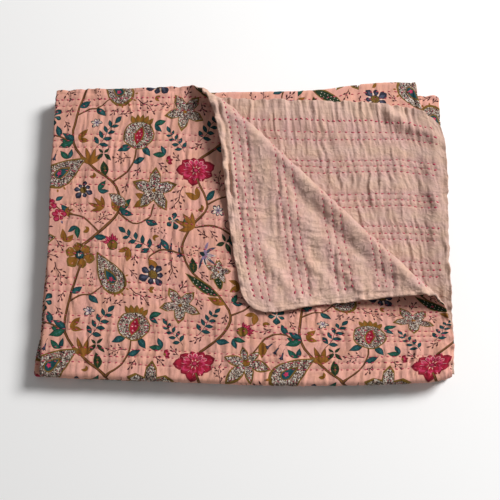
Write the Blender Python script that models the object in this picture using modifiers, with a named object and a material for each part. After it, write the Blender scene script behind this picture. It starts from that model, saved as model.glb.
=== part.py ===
"""Kantha quilt, folded in eight, with the corner of its top layer turned back.

The quilt is one sheet: two cotton cloths, one printed and one plain, stitched through in rows of
running stitch, with their edges turned in at the hem. It is folded once across its width, print
outside, and then back and forth in four along its length, so the folded quilt has eight layers.
The two layers of the top panel part at the right, and the corner of the upper one is rolled over
to the left, which shows the plain side of both.

All sizes are in metres. The origin is under the middle of the folded quilt, +X to the right,
+Y to the back and +Z up. A place on the cloth is (s, t): s runs along the length, from the end
hem of the top panel, and t runs across, from the middle of the left fold. The upper layer of the
top panel has t above zero and the layer under it has t below zero.
"""

import math
from collections import namedtuple

import bmesh
import bpy
import numpy as np

# Driving dimensions of the cloth
QUILT_LENGTH = 1.572
QUILT_WIDTH = 1.012
PANELS = 4
CORNER_RADIUS = 0.027
LAST_CORNER_RADIUS = 0.007

# The stack: distance from layer to layer, and the thickness of the quilted cloth
PITCH = 0.0034
PUFF_THICKNESS = 0.0026
ROW_THICKNESS = 0.0014
HIDDEN_THICKNESS = 0.0020
HEM_SEAM_THICKNESS = 0.0017
HEM_BAND = 0.007

HALF_PITCH = PITCH / 2
BEND = math.pi * PITCH
PANEL = (QUILT_LENGTH - (PANELS - 1) * BEND) / PANELS
HALF_WIDTH = QUILT_WIDTH / 2
EDGE = math.pi * HALF_PITCH / 2
LOW_MIDDLE = HIDDEN_THICKNESS / 2 + HALF_PITCH
HEIGHTS = LOW_MIDDLE + 2 * PITCH * np.arange(PANELS - 1, -1, -1)

# Middle of the folded quilt's outline, in the frame of the tables below
CENTRE = (-0.0008, 0.0040)

# Outline of each panel, by its place along the length: 1.5 is halfway down the second panel.
# The left fold is the outermost point, and the right edges are the hems of the two layers.
Side = namedtuple("Side", "place left right_upper right_lower row_shift_upper row_shift_lower")
SIDES = (
    Side(0.00, -0.2535, 0.2545, 0.2560, 0.000, 0.040),
    Side(0.10, -0.2536, 0.2550, 0.2585, 0.014, 0.043),
    Side(0.22, -0.2538, 0.2485, 0.2580, 0.026, 0.040),
    Side(0.34, -0.2535, 0.2440, 0.2555, 0.045, 0.036),
    Side(0.47, -0.2522, 0.2400, 0.2530, 0.070, 0.030),
    Side(0.60, -0.2508, 0.2400, 0.2518, 0.085, 0.024),
    Side(0.71, -0.2503, 0.2445, 0.2514, 0.066, 0.018),
    Side(0.82, -0.2500, 0.2495, 0.2510, 0.026, 0.012),
    Side(0.92, -0.2508, 0.2500, 0.2505, 0.006, 0.006),
    Side(1.00, -0.2510, 0.2460, 0.2490, 0.000, 0.000),
    Side(1.06, -0.2530, 0.2460, 0.2490, 0.000, 0.000),
    Side(1.50, -0.2520, 0.2400, 0.2405, 0.000, 0.000),
    Side(1.90, -0.2505, 0.2290, 0.2300, 0.000, 0.000),
    Side(2.00, -0.2505, 0.2255, 0.2240, 0.000, 0.000),
    Side(2.10, -0.2510, 0.2285, 0.2280, 0.000, 0.000),
    Side(2.50, -0.2520, 0.2400, 0.2400, 0.000, 0.000),
    Side(2.83, -0.2530, 0.2465, 0.2465, 0.000, 0.000),
    Side(2.96, -0.2605, 0.2480, 0.2480, 0.000, 0.000),
    Side(3.04, -0.2605, 0.2490, 0.2490, 0.000, 0.000),
    Side(3.17, -0.2530, 0.2510, 0.2510, 0.000, 0.000),
    Side(3.50, -0.2520, 0.2540, 0.2545, 0.000, 0.000),
    Side(4.00, -0.2515, 0.2560, 0.2575, 0.000, 0.000),
)

# Ends of the panels, by the place across: the hems, and the outermost point of each fold.
End = namedtuple("End", "across hem_upper hem_lower front_top back front_low last_hem")
ENDS = (
    End(-0.2500, 0.1890, 0.1870, -0.1868, 0.1875, -0.1850, 0.1880),
    End(-0.1950, 0.1910, 0.1855, -0.1888, 0.1870, -0.1880, 0.1885),
    End(-0.1300, 0.1930, 0.1835, -0.1912, 0.1870, -0.1902, 0.1890),
    End(-0.0770, 0.1945, 0.1810, -0.1934, 0.1885, -0.1922, 0.1895),
    End(-0.0200, 0.1905, 0.1795, -0.1958, 0.1915, -0.1940, 0.1900),
    End(0.0400, 0.1815, 0.1775, -0.1975, 0.1920, -0.1955, 0.1900),
    End(0.1100, 0.1730, 0.1760, -0.1974, 0.1945, -0.1958, 0.1905),
    End(0.1560, 0.1670, 0.1735, -0.1964, 0.2005, -0.1950, 0.1910),
    End(0.1990, 0.1595, 0.1675, -0.1948, 0.2050, -0.1935, 0.1912),
    End(0.2280, 0.1530, 0.1595, -0.1925, 0.2055, -0.1915, 0.1912),
    End(0.2500, 0.1480, 0.1560, -0.1880, 0.2050, -0.1885, 0.1908),
)

# Middles of the groups of three stitch rows, along the length on the left fold
ROW_GROUPS = (0.025, 0.076, 0.127, 0.174, 0.221, 0.272, 0.322, 0.363)
ROW_SPACING = 0.009

# The turned-back corner rolls over a line at 45 degrees. By the place along that line, from the
# end hem to the right hem: how far out the crease lies, and the radius of the roll.
Roll = namedtuple("Roll", "place crease radius")
ROLL = (
    Roll(-0.190, 0.0845, 0.0120),
    Roll(-0.172, 0.0880, 0.0115),
    Roll(-0.156, 0.0920, 0.0111),
    Roll(-0.140, 0.0950, 0.0106),
    Roll(-0.120, 0.0968, 0.0100),
    Roll(-0.090, 0.0976, 0.0093),
    Roll(-0.060, 0.0976, 0.0088),
    Roll(0.000, 0.0976, 0.0080),
    Roll(0.100, 0.0976, 0.0080),
    Roll(0.180, 0.0976, 0.0095),
    Roll(0.260, 0.0976, 0.0140),
)
DESCENT = 0.22
FLAP_REST = 0.0041
HEM_LIFT = 0.0060
HEM_LIFT_REACH = 0.050
HEM_LIFT_GROWTH = 0.050
HEM_LIFT_END = 0.160

# The right margin hangs past the ends of the folds inside: where those end, by the place from
# front to back, how far it sinks, and the heights between which the sinking grows
Margin = namedtuple("Margin", "place inner_end")
MARGIN = (Margin(-0.19, 0.252), Margin(0.0, 0.243), Margin(0.12, 0.233), Margin(0.20, 0.226))
DROOP = 0.0062
DROOP_REACH = 0.026
DROOP_FRONT = -0.170
DROOP_GROWTH = 0.120
DROOP_FROM = 0.0060
DROOP_TO = 0.0190

# The stack is a little uneven: two crossed waves, in radians a metre across and along, swell it by
# a share of its height, and it sinks towards the left fold
SWELL = 0.030
Wave = namedtuple("Wave", "across along start")
WAVES = (Wave(11, 4, 0.6), Wave(3, -12, math.pi / 2))
SINK = 0.5
SINK_START = -0.20
SINK_REACH = 0.05

# Lines of the cloth mesh
LEFT_FOLD_STEPS = 5
BEND_STEPS = 6
HIDDEN_STEPS = 6
ACROSS_SHARES = (0.0, 0.12, 0.27, 0.42, 0.57, 0.72, 0.85, 0.93, 1.0)
ROW_LINES = (-0.009, -0.0045, 0.0, 0.0045, 0.009, 0.017, 0.032)
ROLL_START = 0.0896
ROLL_LINES = (0.0, 0.004, 0.008, 0.012, 0.017, 0.022, 0.027, 0.033, 0.041, 0.052, 0.068, 0.092, 0.125)
HEM_ROLL_LINES = (-0.0165, -0.0110, -0.0055)
HEM_ROLL_REACH = 0.045

LEFT_OUTER = HALF_PITCH + PUFF_THICKNESS / 2
BEND_OUTER = 1.5 * PITCH + PUFF_THICKNESS / 2
DIAGONAL = math.sqrt(0.5)


def curve(at, table, column):
    """A smooth curve through a column of a table, by the table's first column."""
    places = np.array([row[0] for row in table])
    values = np.array([getattr(row, column) for row in table])
    slopes = np.gradient(values, places)
    i = np.clip(np.searchsorted(places, at) - 1, 0, len(places) - 2)
    step = places[i + 1] - places[i]
    part = np.clip((at - places[i]) / step, 0, 1)
    back = 1 - part
    return (
        values[i] * (1 + 2 * part) * back**2
        + values[i + 1] * (3 - 2 * part) * part**2
        + step * (slopes[i] * part * back**2 - slopes[i + 1] * part**2 * back)
    )


def smooth(value):
    value = np.clip(value, 0, 1)
    return value * value * (3 - 2 * value)


def mix(first, second, share):
    return first + (second - first) * share


def find_panel(s):
    """The panel of a place, its share of the panel's length, and its turn round the next bend."""
    panel = np.clip((s / (PANEL + BEND)).astype(int), 0, PANELS - 1)
    rest = s - panel * (PANEL + BEND)
    share = np.clip(rest / PANEL, 0, 1)
    turn = np.clip((rest - PANEL) / BEND, 0, 1) * math.pi
    return panel, share, turn


def lay_flat(s, t):
    """Where a place of the cloth lies across and along its panel, before any height."""
    panel, share, turn = find_panel(s)
    half_turn = math.pi / 2 * (1 - np.clip(t / EDGE, -1, 1))
    out = np.clip((np.abs(t) - EDGE) / (HALF_WIDTH - EDGE), 0, 1)
    lower = half_turn / math.pi
    place = panel + share

    left = curve(place, SIDES, "left") + LEFT_OUTER
    right = mix(curve(place, SIDES, "right_upper"), curve(place, SIDES, "right_lower"), lower)
    shift = mix(
        curve(place, SIDES, "row_shift_upper"), curve(place, SIDES, "row_shift_lower"), lower
    )
    ends_share = 4 * share * (1 - share)
    share = share + shift * out * np.where(panel == 0, np.minimum(1, ends_share * 4), 0)
    x = mix(left, right, out) - HALF_PITCH * np.sin(half_turn)

    across = mix(ENDS[0].across, ENDS[-1].across, out)
    hem = mix(curve(across, ENDS, "hem_upper"), curve(across, ENDS, "hem_lower"), lower)
    front_top = curve(across, ENDS, "front_top") + BEND_OUTER
    back = curve(across, ENDS, "back") - BEND_OUTER
    front_low = curve(across, ENDS, "front_low") + BEND_OUTER
    last_hem = curve(across, ENDS, "last_hem")
    starts = np.choose(panel, (hem, front_top, back, front_low))
    ends = np.choose(panel, (front_top, back, front_low, last_hem))
    y = mix(starts, ends, share)
    return x, y, panel, turn, half_turn


def turn_back(x, y, s):
    """Roll what lies past the crease over to the left: the new place, and how far it rises."""
    along = (x - y) * DIAGONAL
    radius = curve(along, ROLL, "radius")
    start = curve(along, ROLL, "crease") - radius
    past = (x + y) * DIAGONAL - start

    angle = np.clip(past / radius, 0, math.pi + DESCENT)
    slope = (radius * (1 + math.cos(DESCENT)) - FLAP_REST) / DESCENT
    beyond = np.maximum(past - radius * (math.pi + DESCENT), 0)
    fall = 1 - np.exp(-beyond / slope)
    fall_twice = 1 - np.exp(-2 * beyond / slope)
    across = start + radius * np.sin(angle) - beyond + DESCENT**2 / 4 * slope * fall_twice
    rise = radius * (1 - np.cos(angle)) - DESCENT * slope * fall

    lift = smooth(beyond / HEM_LIFT_GROWTH) * smooth((HEM_LIFT_END - x) / HEM_LIFT_END)
    rise = rise + HEM_LIFT * np.exp(-s / HEM_LIFT_REACH) * lift

    turned = past > 0
    new_x = np.where(turned, (across + along) * DIAGONAL, x)
    new_y = np.where(turned, (across - along) * DIAGONAL, y)
    return new_x, new_y, np.where(turned, rise, 0)


def settle(x, y, z):
    """The droop of the right margin, and a slight swell of all but the flat underside."""
    inner_end = np.interp(y, *zip(*MARGIN))
    droop = DROOP * smooth((x - inner_end) / DROOP_REACH) * smooth((y - DROOP_FRONT) / DROOP_GROWTH)
    fallen = z - droop * smooth((z - DROOP_FROM) / (DROOP_TO - DROOP_FROM))
    crossed = [np.sin(wave.across * x + wave.along * y + wave.start) for wave in WAVES]
    uneven = crossed[0] * crossed[1] - SINK * smooth((SINK_START - x) / SINK_REACH)
    return fallen + SWELL * uneven * (fallen - HIDDEN_THICKNESS / 2)


def fold(s, t):
    """The middle of the cloth's thickness, in space, at the places (s, t)."""
    x, y, panel, turn, half_turn = lay_flat(s, t)
    offset = HALF_PITCH * np.cos(half_turn)
    at_front = panel % 2 == 0
    facing = np.where(at_front, 1, -1)
    radius = PITCH + facing * offset
    z = HEIGHTS[panel] + facing * offset
    bent = turn > 0
    y = np.where(bent, y - facing * radius * np.sin(turn), y)
    z = np.where(bent, HEIGHTS[panel] - PITCH + radius * np.cos(turn), z)

    upper = (panel == 0) & ~bent & (t > EDGE)
    turned_x, turned_y, rise = turn_back(x, y, s)
    x = np.where(upper, turned_x, x)
    y = np.where(upper, turned_y, y)
    z = settle(x, y, z + np.where(upper, rise, 0))
    return np.stack([x - CENTRE[0], y - CENTRE[1], z], axis=-1)


def thickness(s, t):
    """Thickness of the cloth: thin along the stitch rows and beside the hem, puffed between."""
    panel, share, turn = find_panel(s)
    rows = np.concatenate([[g - ROW_SPACING, g, g + ROW_SPACING] for g in ROW_GROUPS])
    gap = np.min(np.abs(s[:, None] - rows[None, :]), axis=1)
    quilted = mix(ROW_THICKNESS, PUFF_THICKNESS, np.sqrt(smooth(gap / (ROW_SPACING / 2))))
    thick = np.where((panel == 0) & (turn == 0), quilted, HIDDEN_THICKNESS)
    from_hem = HALF_WIDTH - np.abs(t)
    top = (panel == 0) & (turn == 0)
    at_seam = np.minimum(np.where(top, s, HEM_BAND * 2), np.where(top, from_hem, HEM_BAND * 2))
    seam = np.abs(at_seam - HEM_BAND) < HEM_BAND / 4
    return np.where(seam, np.minimum(thick, HEM_SEAM_THICKNESS), thick)


def length_lines():
    """Places along the length where the mesh has a line."""
    lines = {0.0, HEM_BAND}
    for group in ROW_GROUPS:
        lines.update(group + step for step in ROW_LINES if group + step < PANEL - 0.004)
    for panel in range(PANELS):
        start = panel * (PANEL + BEND)
        if panel:
            lines.update(start + PANEL * i / HIDDEN_STEPS for i in range(HIDDEN_STEPS + 1))
        if panel < PANELS - 1:
            lines.update(start + PANEL + BEND * i / BEND_STEPS for i in range(BEND_STEPS + 1))
    return np.array(sorted(lines))


def width_lines():
    """Places across the width where the mesh has a line."""
    side = [EDGE + (HALF_WIDTH - EDGE) * share for share in ACROSS_SHARES]
    side.append(HALF_WIDTH - HEM_BAND)
    turn = np.linspace(-EDGE, EDGE, LEFT_FOLD_STEPS + 1)[1:-1]
    return np.array(sorted([-place for place in side] + list(turn) + side))


def open_out(s, t):
    """The quilt opened out like a book from the top panel, which stays where it lies."""
    x, y, panel, turn, _ = lay_flat(s, t)
    left = curve(np.minimum(s / PANEL, PANELS), SIDES, "left") + LEFT_OUTER
    x = np.where(t < EDGE, left + np.minimum(t, EDGE) - EDGE, x)
    front = curve(np.clip(x, -0.25, 0.25), ENDS, "front_top") + BEND_OUTER
    past_first = (panel > 0) | (turn > 0)
    return x, np.where(past_first, front - (s - PANEL), y)


def cut_line(bm, faces, point, normal, trim=False):
    """Cut the given faces along a line, and take away what lies past it if trim is set."""
    edges = {edge for face in faces for edge in face.edges}
    verts = {vert for face in faces for vert in face.verts}
    bmesh.ops.bisect_plane(
        bm,
        geom=list(verts) + list(edges) + list(faces),
        dist=1e-6,
        plane_co=(point[0], point[1], 0),
        plane_no=(normal[0], normal[1], 0),
        clear_outer=trim,
    )


def round_corner(bm, corner, outward, radius):
    """Trim a corner of the opened-out cloth to an arc, as a run of short cuts."""
    for degrees in (18, 45, 72):
        turn = math.radians(degrees)
        normal = (outward[0] * math.cos(turn), outward[1] * math.sin(turn))
        point = [corner[i] + (normal[i] - outward[i]) * radius for i in (0, 1)]
        cut_line(bm, bm.faces[:], point, normal, trim=True)


def make_cloth_mesh():
    """The opened-out cloth, with its lines where it is quilted, folded and rolled."""
    along, across = length_lines(), width_lines()
    bm = bmesh.new()
    s_layer = bm.verts.layers.float.new("s")
    t_layer = bm.verts.layers.float.new("t")
    bmesh.ops.create_grid(bm, x_segments=len(across) - 1, y_segments=len(along) - 1, size=0.5)
    columns, rows = len(across) - 1, len(along) - 1
    for vert in bm.verts:
        vert[t_layer] = across[round((vert.co.x + 0.5) * columns)]
        vert[s_layer] = along[rows - round((vert.co.y + 0.5) * rows)]
    s = np.array([vert[s_layer] for vert in bm.verts])
    t = np.array([vert[t_layer] for vert in bm.verts])
    flat_x, flat_y = open_out(s, t)
    for vert, x, y in zip(bm.verts, flat_x, flat_y):
        vert.co = (x, y, 0)

    ends = ((0.0, 1, CORNER_RADIUS), (QUILT_LENGTH, -1, LAST_CORNER_RADIUS))
    for length, outward_y, radius in ends:
        for half, outward_x in ((HALF_WIDTH, 1), (-HALF_WIDTH, -1)):
            x, y = open_out(np.array([length]), np.array([half]))
            round_corner(bm, (x[0], y[0]), (outward_x, outward_y), radius)

    lines = [(distance, PANEL) for distance in ROLL_LINES]
    lines += [(distance, HEM_ROLL_REACH) for distance in HEM_ROLL_LINES]
    for distance, end in lines:
        upper = [
            face
            for face in bm.faces
            if all(vert[s_layer] < end + 1e-5 and vert[t_layer] > EDGE - 1e-5 for vert in face.verts)
        ]
        reach = (ROLL_START + distance) * DIAGONAL
        cut_line(bm, upper, (reach, reach), (DIAGONAL, DIAGONAL))
    return bm, s_layer, t_layer


def make_quilt(material):
    """Fold the cloth mesh up, and give it its thickness."""
    bm, s_layer, t_layer = make_cloth_mesh()
    s = np.array([vert[s_layer] for vert in bm.verts])
    t = np.array([vert[t_layer] for vert in bm.verts])
    for vert, point in zip(bm.verts, fold(s, t)):
        vert.co = point
    mesh = bpy.data.meshes.new("quilt")
    bm.to_mesh(mesh)
    bm.free()
    mesh.materials.append(material)
    mesh.shade_smooth()

    quilt = bpy.data.objects.new("quilt", mesh)
    group = quilt.vertex_groups.new(name="thickness")
    for index, thick in enumerate(thickness(s, t)):
        group.add([index], thick / PUFF_THICKNESS, "REPLACE")
    solidify = quilt.modifiers.new("cloth", "SOLIDIFY")
    solidify.thickness = PUFF_THICKNESS
    solidify.offset = 0
    solidify.vertex_group = group.name
    solidify.thickness_vertex_group = 0
    return quilt


def make_material():
    material = bpy.data.materials.new("printed_cotton")
    material.use_nodes = True
    shader = material.node_tree.nodes["Principled BSDF"]
    shader.inputs["Base Color"].default_value = (0.75, 0.38, 0.30, 1)
    shader.inputs["Roughness"].default_value = 0.9
    return material


def main():
    for obj in list(bpy.data.objects):
        bpy.data.objects.remove(obj, do_unlink=True)
    collection = bpy.data.collections.new("kantha_quilt")
    bpy.context.scene.collection.children.link(collection)
    collection.objects.link(make_quilt(make_material()))


main()
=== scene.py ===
"""Looks of the folded kantha quilt: its printed and plain cotton, hems and running stitch.

The cloth has the fold of the CAD solid, from the same named sizes. A place on the cloth is (s, t):
s runs along the length from the end hem of the top panel, and t runs across from the middle of
the left fold, above zero on the upper layer of the top panel. Metres throughout, but the print is
charted in millimetres.
"""

import math
from collections import namedtuple

import bpy
import numpy as np
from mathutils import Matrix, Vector
from mathutils.geometry import delaunay_2d_cdt


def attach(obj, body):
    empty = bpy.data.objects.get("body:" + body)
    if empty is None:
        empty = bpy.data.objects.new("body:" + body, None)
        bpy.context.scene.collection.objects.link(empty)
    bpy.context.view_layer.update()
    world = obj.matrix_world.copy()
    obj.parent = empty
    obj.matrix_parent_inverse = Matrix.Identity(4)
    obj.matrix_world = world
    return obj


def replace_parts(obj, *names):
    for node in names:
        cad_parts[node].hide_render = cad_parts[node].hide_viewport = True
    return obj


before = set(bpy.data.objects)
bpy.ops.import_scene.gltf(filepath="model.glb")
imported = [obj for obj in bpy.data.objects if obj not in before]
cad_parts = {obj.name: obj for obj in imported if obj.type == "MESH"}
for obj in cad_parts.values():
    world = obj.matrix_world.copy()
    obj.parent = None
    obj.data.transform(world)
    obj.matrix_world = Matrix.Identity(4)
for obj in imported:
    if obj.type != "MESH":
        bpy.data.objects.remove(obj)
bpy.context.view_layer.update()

MM = 0.001

# ---- The folded cloth, as in the CAD source ----

QUILT_LENGTH = 1.572
QUILT_WIDTH = 1.012
PANELS = 4
CORNER_RADIUS = 0.027
LAST_CORNER_RADIUS = 0.007
PITCH = 0.0034
PUFF_THICKNESS = 0.0026
ROW_THICKNESS = 0.0014
HIDDEN_THICKNESS = 0.0020
HEM_BAND = 0.007

HALF_PITCH = PITCH / 2
BEND = math.pi * PITCH
PANEL = (QUILT_LENGTH - (PANELS - 1) * BEND) / PANELS
HALF_WIDTH = QUILT_WIDTH / 2
EDGE = math.pi * HALF_PITCH / 2
LOW_MIDDLE = HIDDEN_THICKNESS / 2 + HALF_PITCH
HEIGHTS = LOW_MIDDLE + 2 * PITCH * np.arange(PANELS - 1, -1, -1)
CENTRE = (-0.0008, 0.0040)

Side = namedtuple("Side", "place left right_upper right_lower row_shift_upper row_shift_lower")
SIDES = (
    Side(0.00, -0.2535, 0.2545, 0.2560, 0.000, 0.040),
    Side(0.10, -0.2536, 0.2550, 0.2585, 0.014, 0.043),
    Side(0.22, -0.2538, 0.2485, 0.2580, 0.026, 0.040),
    Side(0.34, -0.2535, 0.2440, 0.2555, 0.045, 0.036),
    Side(0.47, -0.2522, 0.2400, 0.2530, 0.070, 0.030),
    Side(0.60, -0.2508, 0.2400, 0.2518, 0.085, 0.024),
    Side(0.71, -0.2503, 0.2445, 0.2514, 0.066, 0.018),
    Side(0.82, -0.2500, 0.2495, 0.2510, 0.026, 0.012),
    Side(0.92, -0.2508, 0.2500, 0.2505, 0.006, 0.006),
    Side(1.00, -0.2510, 0.2460, 0.2490, 0.000, 0.000),
    Side(1.06, -0.2530, 0.2460, 0.2490, 0.000, 0.000),
    Side(1.50, -0.2520, 0.2400, 0.2405, 0.000, 0.000),
    Side(1.90, -0.2505, 0.2290, 0.2300, 0.000, 0.000),
    Side(2.00, -0.2505, 0.2255, 0.2240, 0.000, 0.000),
    Side(2.10, -0.2510, 0.2285, 0.2280, 0.000, 0.000),
    Side(2.50, -0.2520, 0.2400, 0.2400, 0.000, 0.000),
    Side(2.83, -0.2530, 0.2465, 0.2465, 0.000, 0.000),
    Side(2.96, -0.2605, 0.2480, 0.2480, 0.000, 0.000),
    Side(3.04, -0.2605, 0.2490, 0.2490, 0.000, 0.000),
    Side(3.17, -0.2530, 0.2510, 0.2510, 0.000, 0.000),
    Side(3.50, -0.2520, 0.2540, 0.2545, 0.000, 0.000),
    Side(4.00, -0.2515, 0.2560, 0.2575, 0.000, 0.000),
)

End = namedtuple("End", "across hem_upper hem_lower front_top back front_low last_hem")
ENDS = (
    End(-0.2500, 0.1890, 0.1870, -0.1868, 0.1875, -0.1850, 0.1880),
    End(-0.1950, 0.1910, 0.1855, -0.1888, 0.1870, -0.1880, 0.1885),
    End(-0.1300, 0.1930, 0.1835, -0.1912, 0.1870, -0.1902, 0.1890),
    End(-0.0770, 0.1945, 0.1810, -0.1934, 0.1885, -0.1922, 0.1895),
    End(-0.0200, 0.1905, 0.1795, -0.1958, 0.1915, -0.1940, 0.1900),
    End(0.0400, 0.1815, 0.1775, -0.1975, 0.1920, -0.1955, 0.1900),
    End(0.1100, 0.1730, 0.1760, -0.1974, 0.1945, -0.1958, 0.1905),
    End(0.1560, 0.1670, 0.1735, -0.1964, 0.2005, -0.1950, 0.1910),
    End(0.1990, 0.1595, 0.1675, -0.1948, 0.2050, -0.1935, 0.1912),
    End(0.2280, 0.1530, 0.1595, -0.1925, 0.2055, -0.1915, 0.1912),
    End(0.2500, 0.1480, 0.1560, -0.1880, 0.2050, -0.1885, 0.1908),
)

Roll = namedtuple("Roll", "place crease radius")
ROLL = (
    Roll(-0.190, 0.0845, 0.0120),
    Roll(-0.172, 0.0880, 0.0115),
    Roll(-0.156, 0.0920, 0.0111),
    Roll(-0.140, 0.0950, 0.0106),
    Roll(-0.120, 0.0968, 0.0100),
    Roll(-0.090, 0.0976, 0.0093),
    Roll(-0.060, 0.0976, 0.0088),
    Roll(0.000, 0.0976, 0.0080),
    Roll(0.100, 0.0976, 0.0080),
    Roll(0.180, 0.0976, 0.0095),
    Roll(0.260, 0.0976, 0.0140),
)
CREASE = ROLL[-1].crease
DESCENT = 0.22
FLAP_REST = 0.0041
HEM_LIFT = 0.0060
HEM_LIFT_REACH = 0.050
HEM_LIFT_GROWTH = 0.050
HEM_LIFT_END = 0.160

Margin = namedtuple("Margin", "place inner_end")
MARGIN = (Margin(-0.19, 0.252), Margin(0.0, 0.243), Margin(0.12, 0.233), Margin(0.20, 0.226))
DROOP = 0.0062
DROOP_REACH = 0.026
DROOP_FRONT = -0.170
DROOP_GROWTH = 0.120
DROOP_FROM = 0.0060
DROOP_TO = 0.0190

SWELL = 0.030
Wave = namedtuple("Wave", "across along start")
WAVES = (Wave(11, 4, 0.6), Wave(3, -12, math.pi / 2))
SINK = 0.5
SINK_START = -0.20
SINK_REACH = 0.05

LEFT_OUTER = HALF_PITCH + PUFF_THICKNESS / 2
BEND_OUTER = 1.5 * PITCH + PUFF_THICKNESS / 2
DIAGONAL = math.sqrt(0.5)

RESTING = 0.0004
HEM_BITE = 0.0016
HEM_SCALLOP = 0.0060

# Middles of the groups of three stitch rows, along the whole length
ROW_GROUPS = (
    0.025, 0.076, 0.127, 0.174, 0.221, 0.272, 0.322, 0.363, 0.414, 0.465, 0.514,
    0.563, 0.613, 0.664, 0.713, 0.762, 0.812, 0.861, 0.912, 0.961, 1.010, 1.060,
    1.109, 1.158, 1.208, 1.257, 1.307, 1.356, 1.405, 1.455, 1.503, 1.547,
)
ROW_SPACING = 0.009
ROW_WANDER = 0.0009
SHORTEST_STEP = 0.0034
LONGEST_STEP = 0.0044
ROW_END_MARGIN = 0.013
ROWS = np.array([group + step * ROW_SPACING for group in ROW_GROUPS for step in (-1, 0, 1)])

# How far the rows of the lower layer stray from the hem's line, as shares of the panel
Drift = namedtuple("Drift", "place middle end")
LOWER_DRIFT = (
    Drift(0.00, 0.000, 0.000),
    Drift(0.06, 0.034, 0.000),
    Drift(0.20, 0.034, 0.000),
    Drift(0.33, 0.031, 0.000),
    Drift(0.45, 0.028, 0.007),
    Drift(0.58, 0.026, 0.024),
    Drift(0.80, 0.010, 0.010),
    Drift(1.00, 0.000, 0.000),
)


def curve(at, table, column):
    """A smooth curve through a column of a table, by the table's first column."""
    places = np.array([row[0] for row in table])
    values = np.array([getattr(row, column) for row in table])
    slopes = np.gradient(values, places)
    i = np.clip(np.searchsorted(places, at) - 1, 0, len(places) - 2)
    step = places[i + 1] - places[i]
    part = np.clip((at - places[i]) / step, 0, 1)
    back = 1 - part
    return (
        values[i] * (1 + 2 * part) * back**2
        + values[i + 1] * (3 - 2 * part) * part**2
        + step * (slopes[i] * part * back**2 - slopes[i + 1] * part**2 * back)
    )


def smooth(value):
    value = np.clip(value, 0, 1)
    return value * value * (3 - 2 * value)


def mix(first, second, share):
    return first + (second - first) * share


def scatter(i, j, seed):
    """A number from 0 to 1 for each pair of whole numbers, the same on every run."""
    code = i.astype(np.int64) * 374761393 + j.astype(np.int64) * 668265263 + seed * 974634777
    code = code & 0xFFFFFFFF
    code = ((code ^ (code >> 13)) * 1274126177) & 0xFFFFFFFF
    return ((code ^ (code >> 16)) & 0xFFFFFF) / float(0xFFFFFF)


def noise(u, v, seed):
    """Smooth noise from -1 to 1, with features about one unit across."""
    i, j = np.floor(u), np.floor(v)
    a, b = smooth(u - i), smooth(v - j)
    low = mix(scatter(i, j, seed), scatter(i + 1, j, seed), a)
    high = mix(scatter(i, j + 1, seed), scatter(i + 1, j + 1, seed), a)
    return 2 * mix(low, high, b) - 1


def find_panel(s):
    panel = np.clip((s / (PANEL + BEND)).astype(int), 0, PANELS - 1)
    rest = s - panel * (PANEL + BEND)
    return panel, np.clip(rest / PANEL, 0, 1), np.clip((rest - PANEL) / BEND, 0, 1) * math.pi


def draw_in(s, t):
    """Both hems are a little scalloped: near them the cloth is drawn inward."""
    bite_s = 0.5 + 0.5 * noise(t / HEM_SCALLOP, s * 0 + 3.3, 61)
    bite_t = 0.5 + 0.5 * noise(s / HEM_SCALLOP, t * 0 + 7.7, 62)
    inward = np.where(s < QUILT_LENGTH / 2, 1, -1) * HEM_BITE
    new_s = s + inward * bite_s * np.exp(-np.minimum(s, QUILT_LENGTH - s) / HEM_BAND)
    new_t = t - np.sign(t) * HEM_BITE * bite_t * np.exp(-(HALF_WIDTH - np.abs(t)) / HEM_BAND)
    return new_s, new_t


def lay_flat(s, t):
    """Where a place of the cloth lies across and along its panel, before any height."""
    s, t = draw_in(s, t)
    panel, share, turn = find_panel(s)
    half_turn = math.pi / 2 * (1 - np.clip(t / EDGE, -1, 1))
    out = np.clip((np.abs(t) - EDGE) / (HALF_WIDTH - EDGE), 0, 1)
    lower = half_turn / math.pi
    place = panel + share

    def side(name):
        return mix(curve(place, SIDES, name + "_upper"), curve(place, SIDES, name + "_lower"), lower)

    left = curve(place, SIDES, "left") + LEFT_OUTER
    middle, end = (curve(share, LOWER_DRIFT, column) for column in ("middle", "end"))
    drift = smooth(out / 0.45) * mix(middle, end, smooth((out - 0.66) / 0.34))
    faded = side("row_shift") * out * np.minimum(1, 4 * share * (1 - share) * 4)
    share = share + np.where(panel == 0, faded + drift * lower, 0)
    x = mix(left, side("right"), out) - HALF_PITCH * np.sin(half_turn)

    across = mix(ENDS[0].across, ENDS[-1].across, out)
    hem = mix(curve(across, ENDS, "hem_upper"), curve(across, ENDS, "hem_lower"), lower)
    front_top = curve(across, ENDS, "front_top") + BEND_OUTER
    back = curve(across, ENDS, "back") - BEND_OUTER
    front_low = curve(across, ENDS, "front_low") + BEND_OUTER
    last_hem = curve(across, ENDS, "last_hem")
    starts = np.choose(panel, (hem, front_top, back, front_low))
    ends = np.choose(panel, (front_top, back, front_low, last_hem))
    return x, mix(starts, ends, share), panel, turn, half_turn


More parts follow.
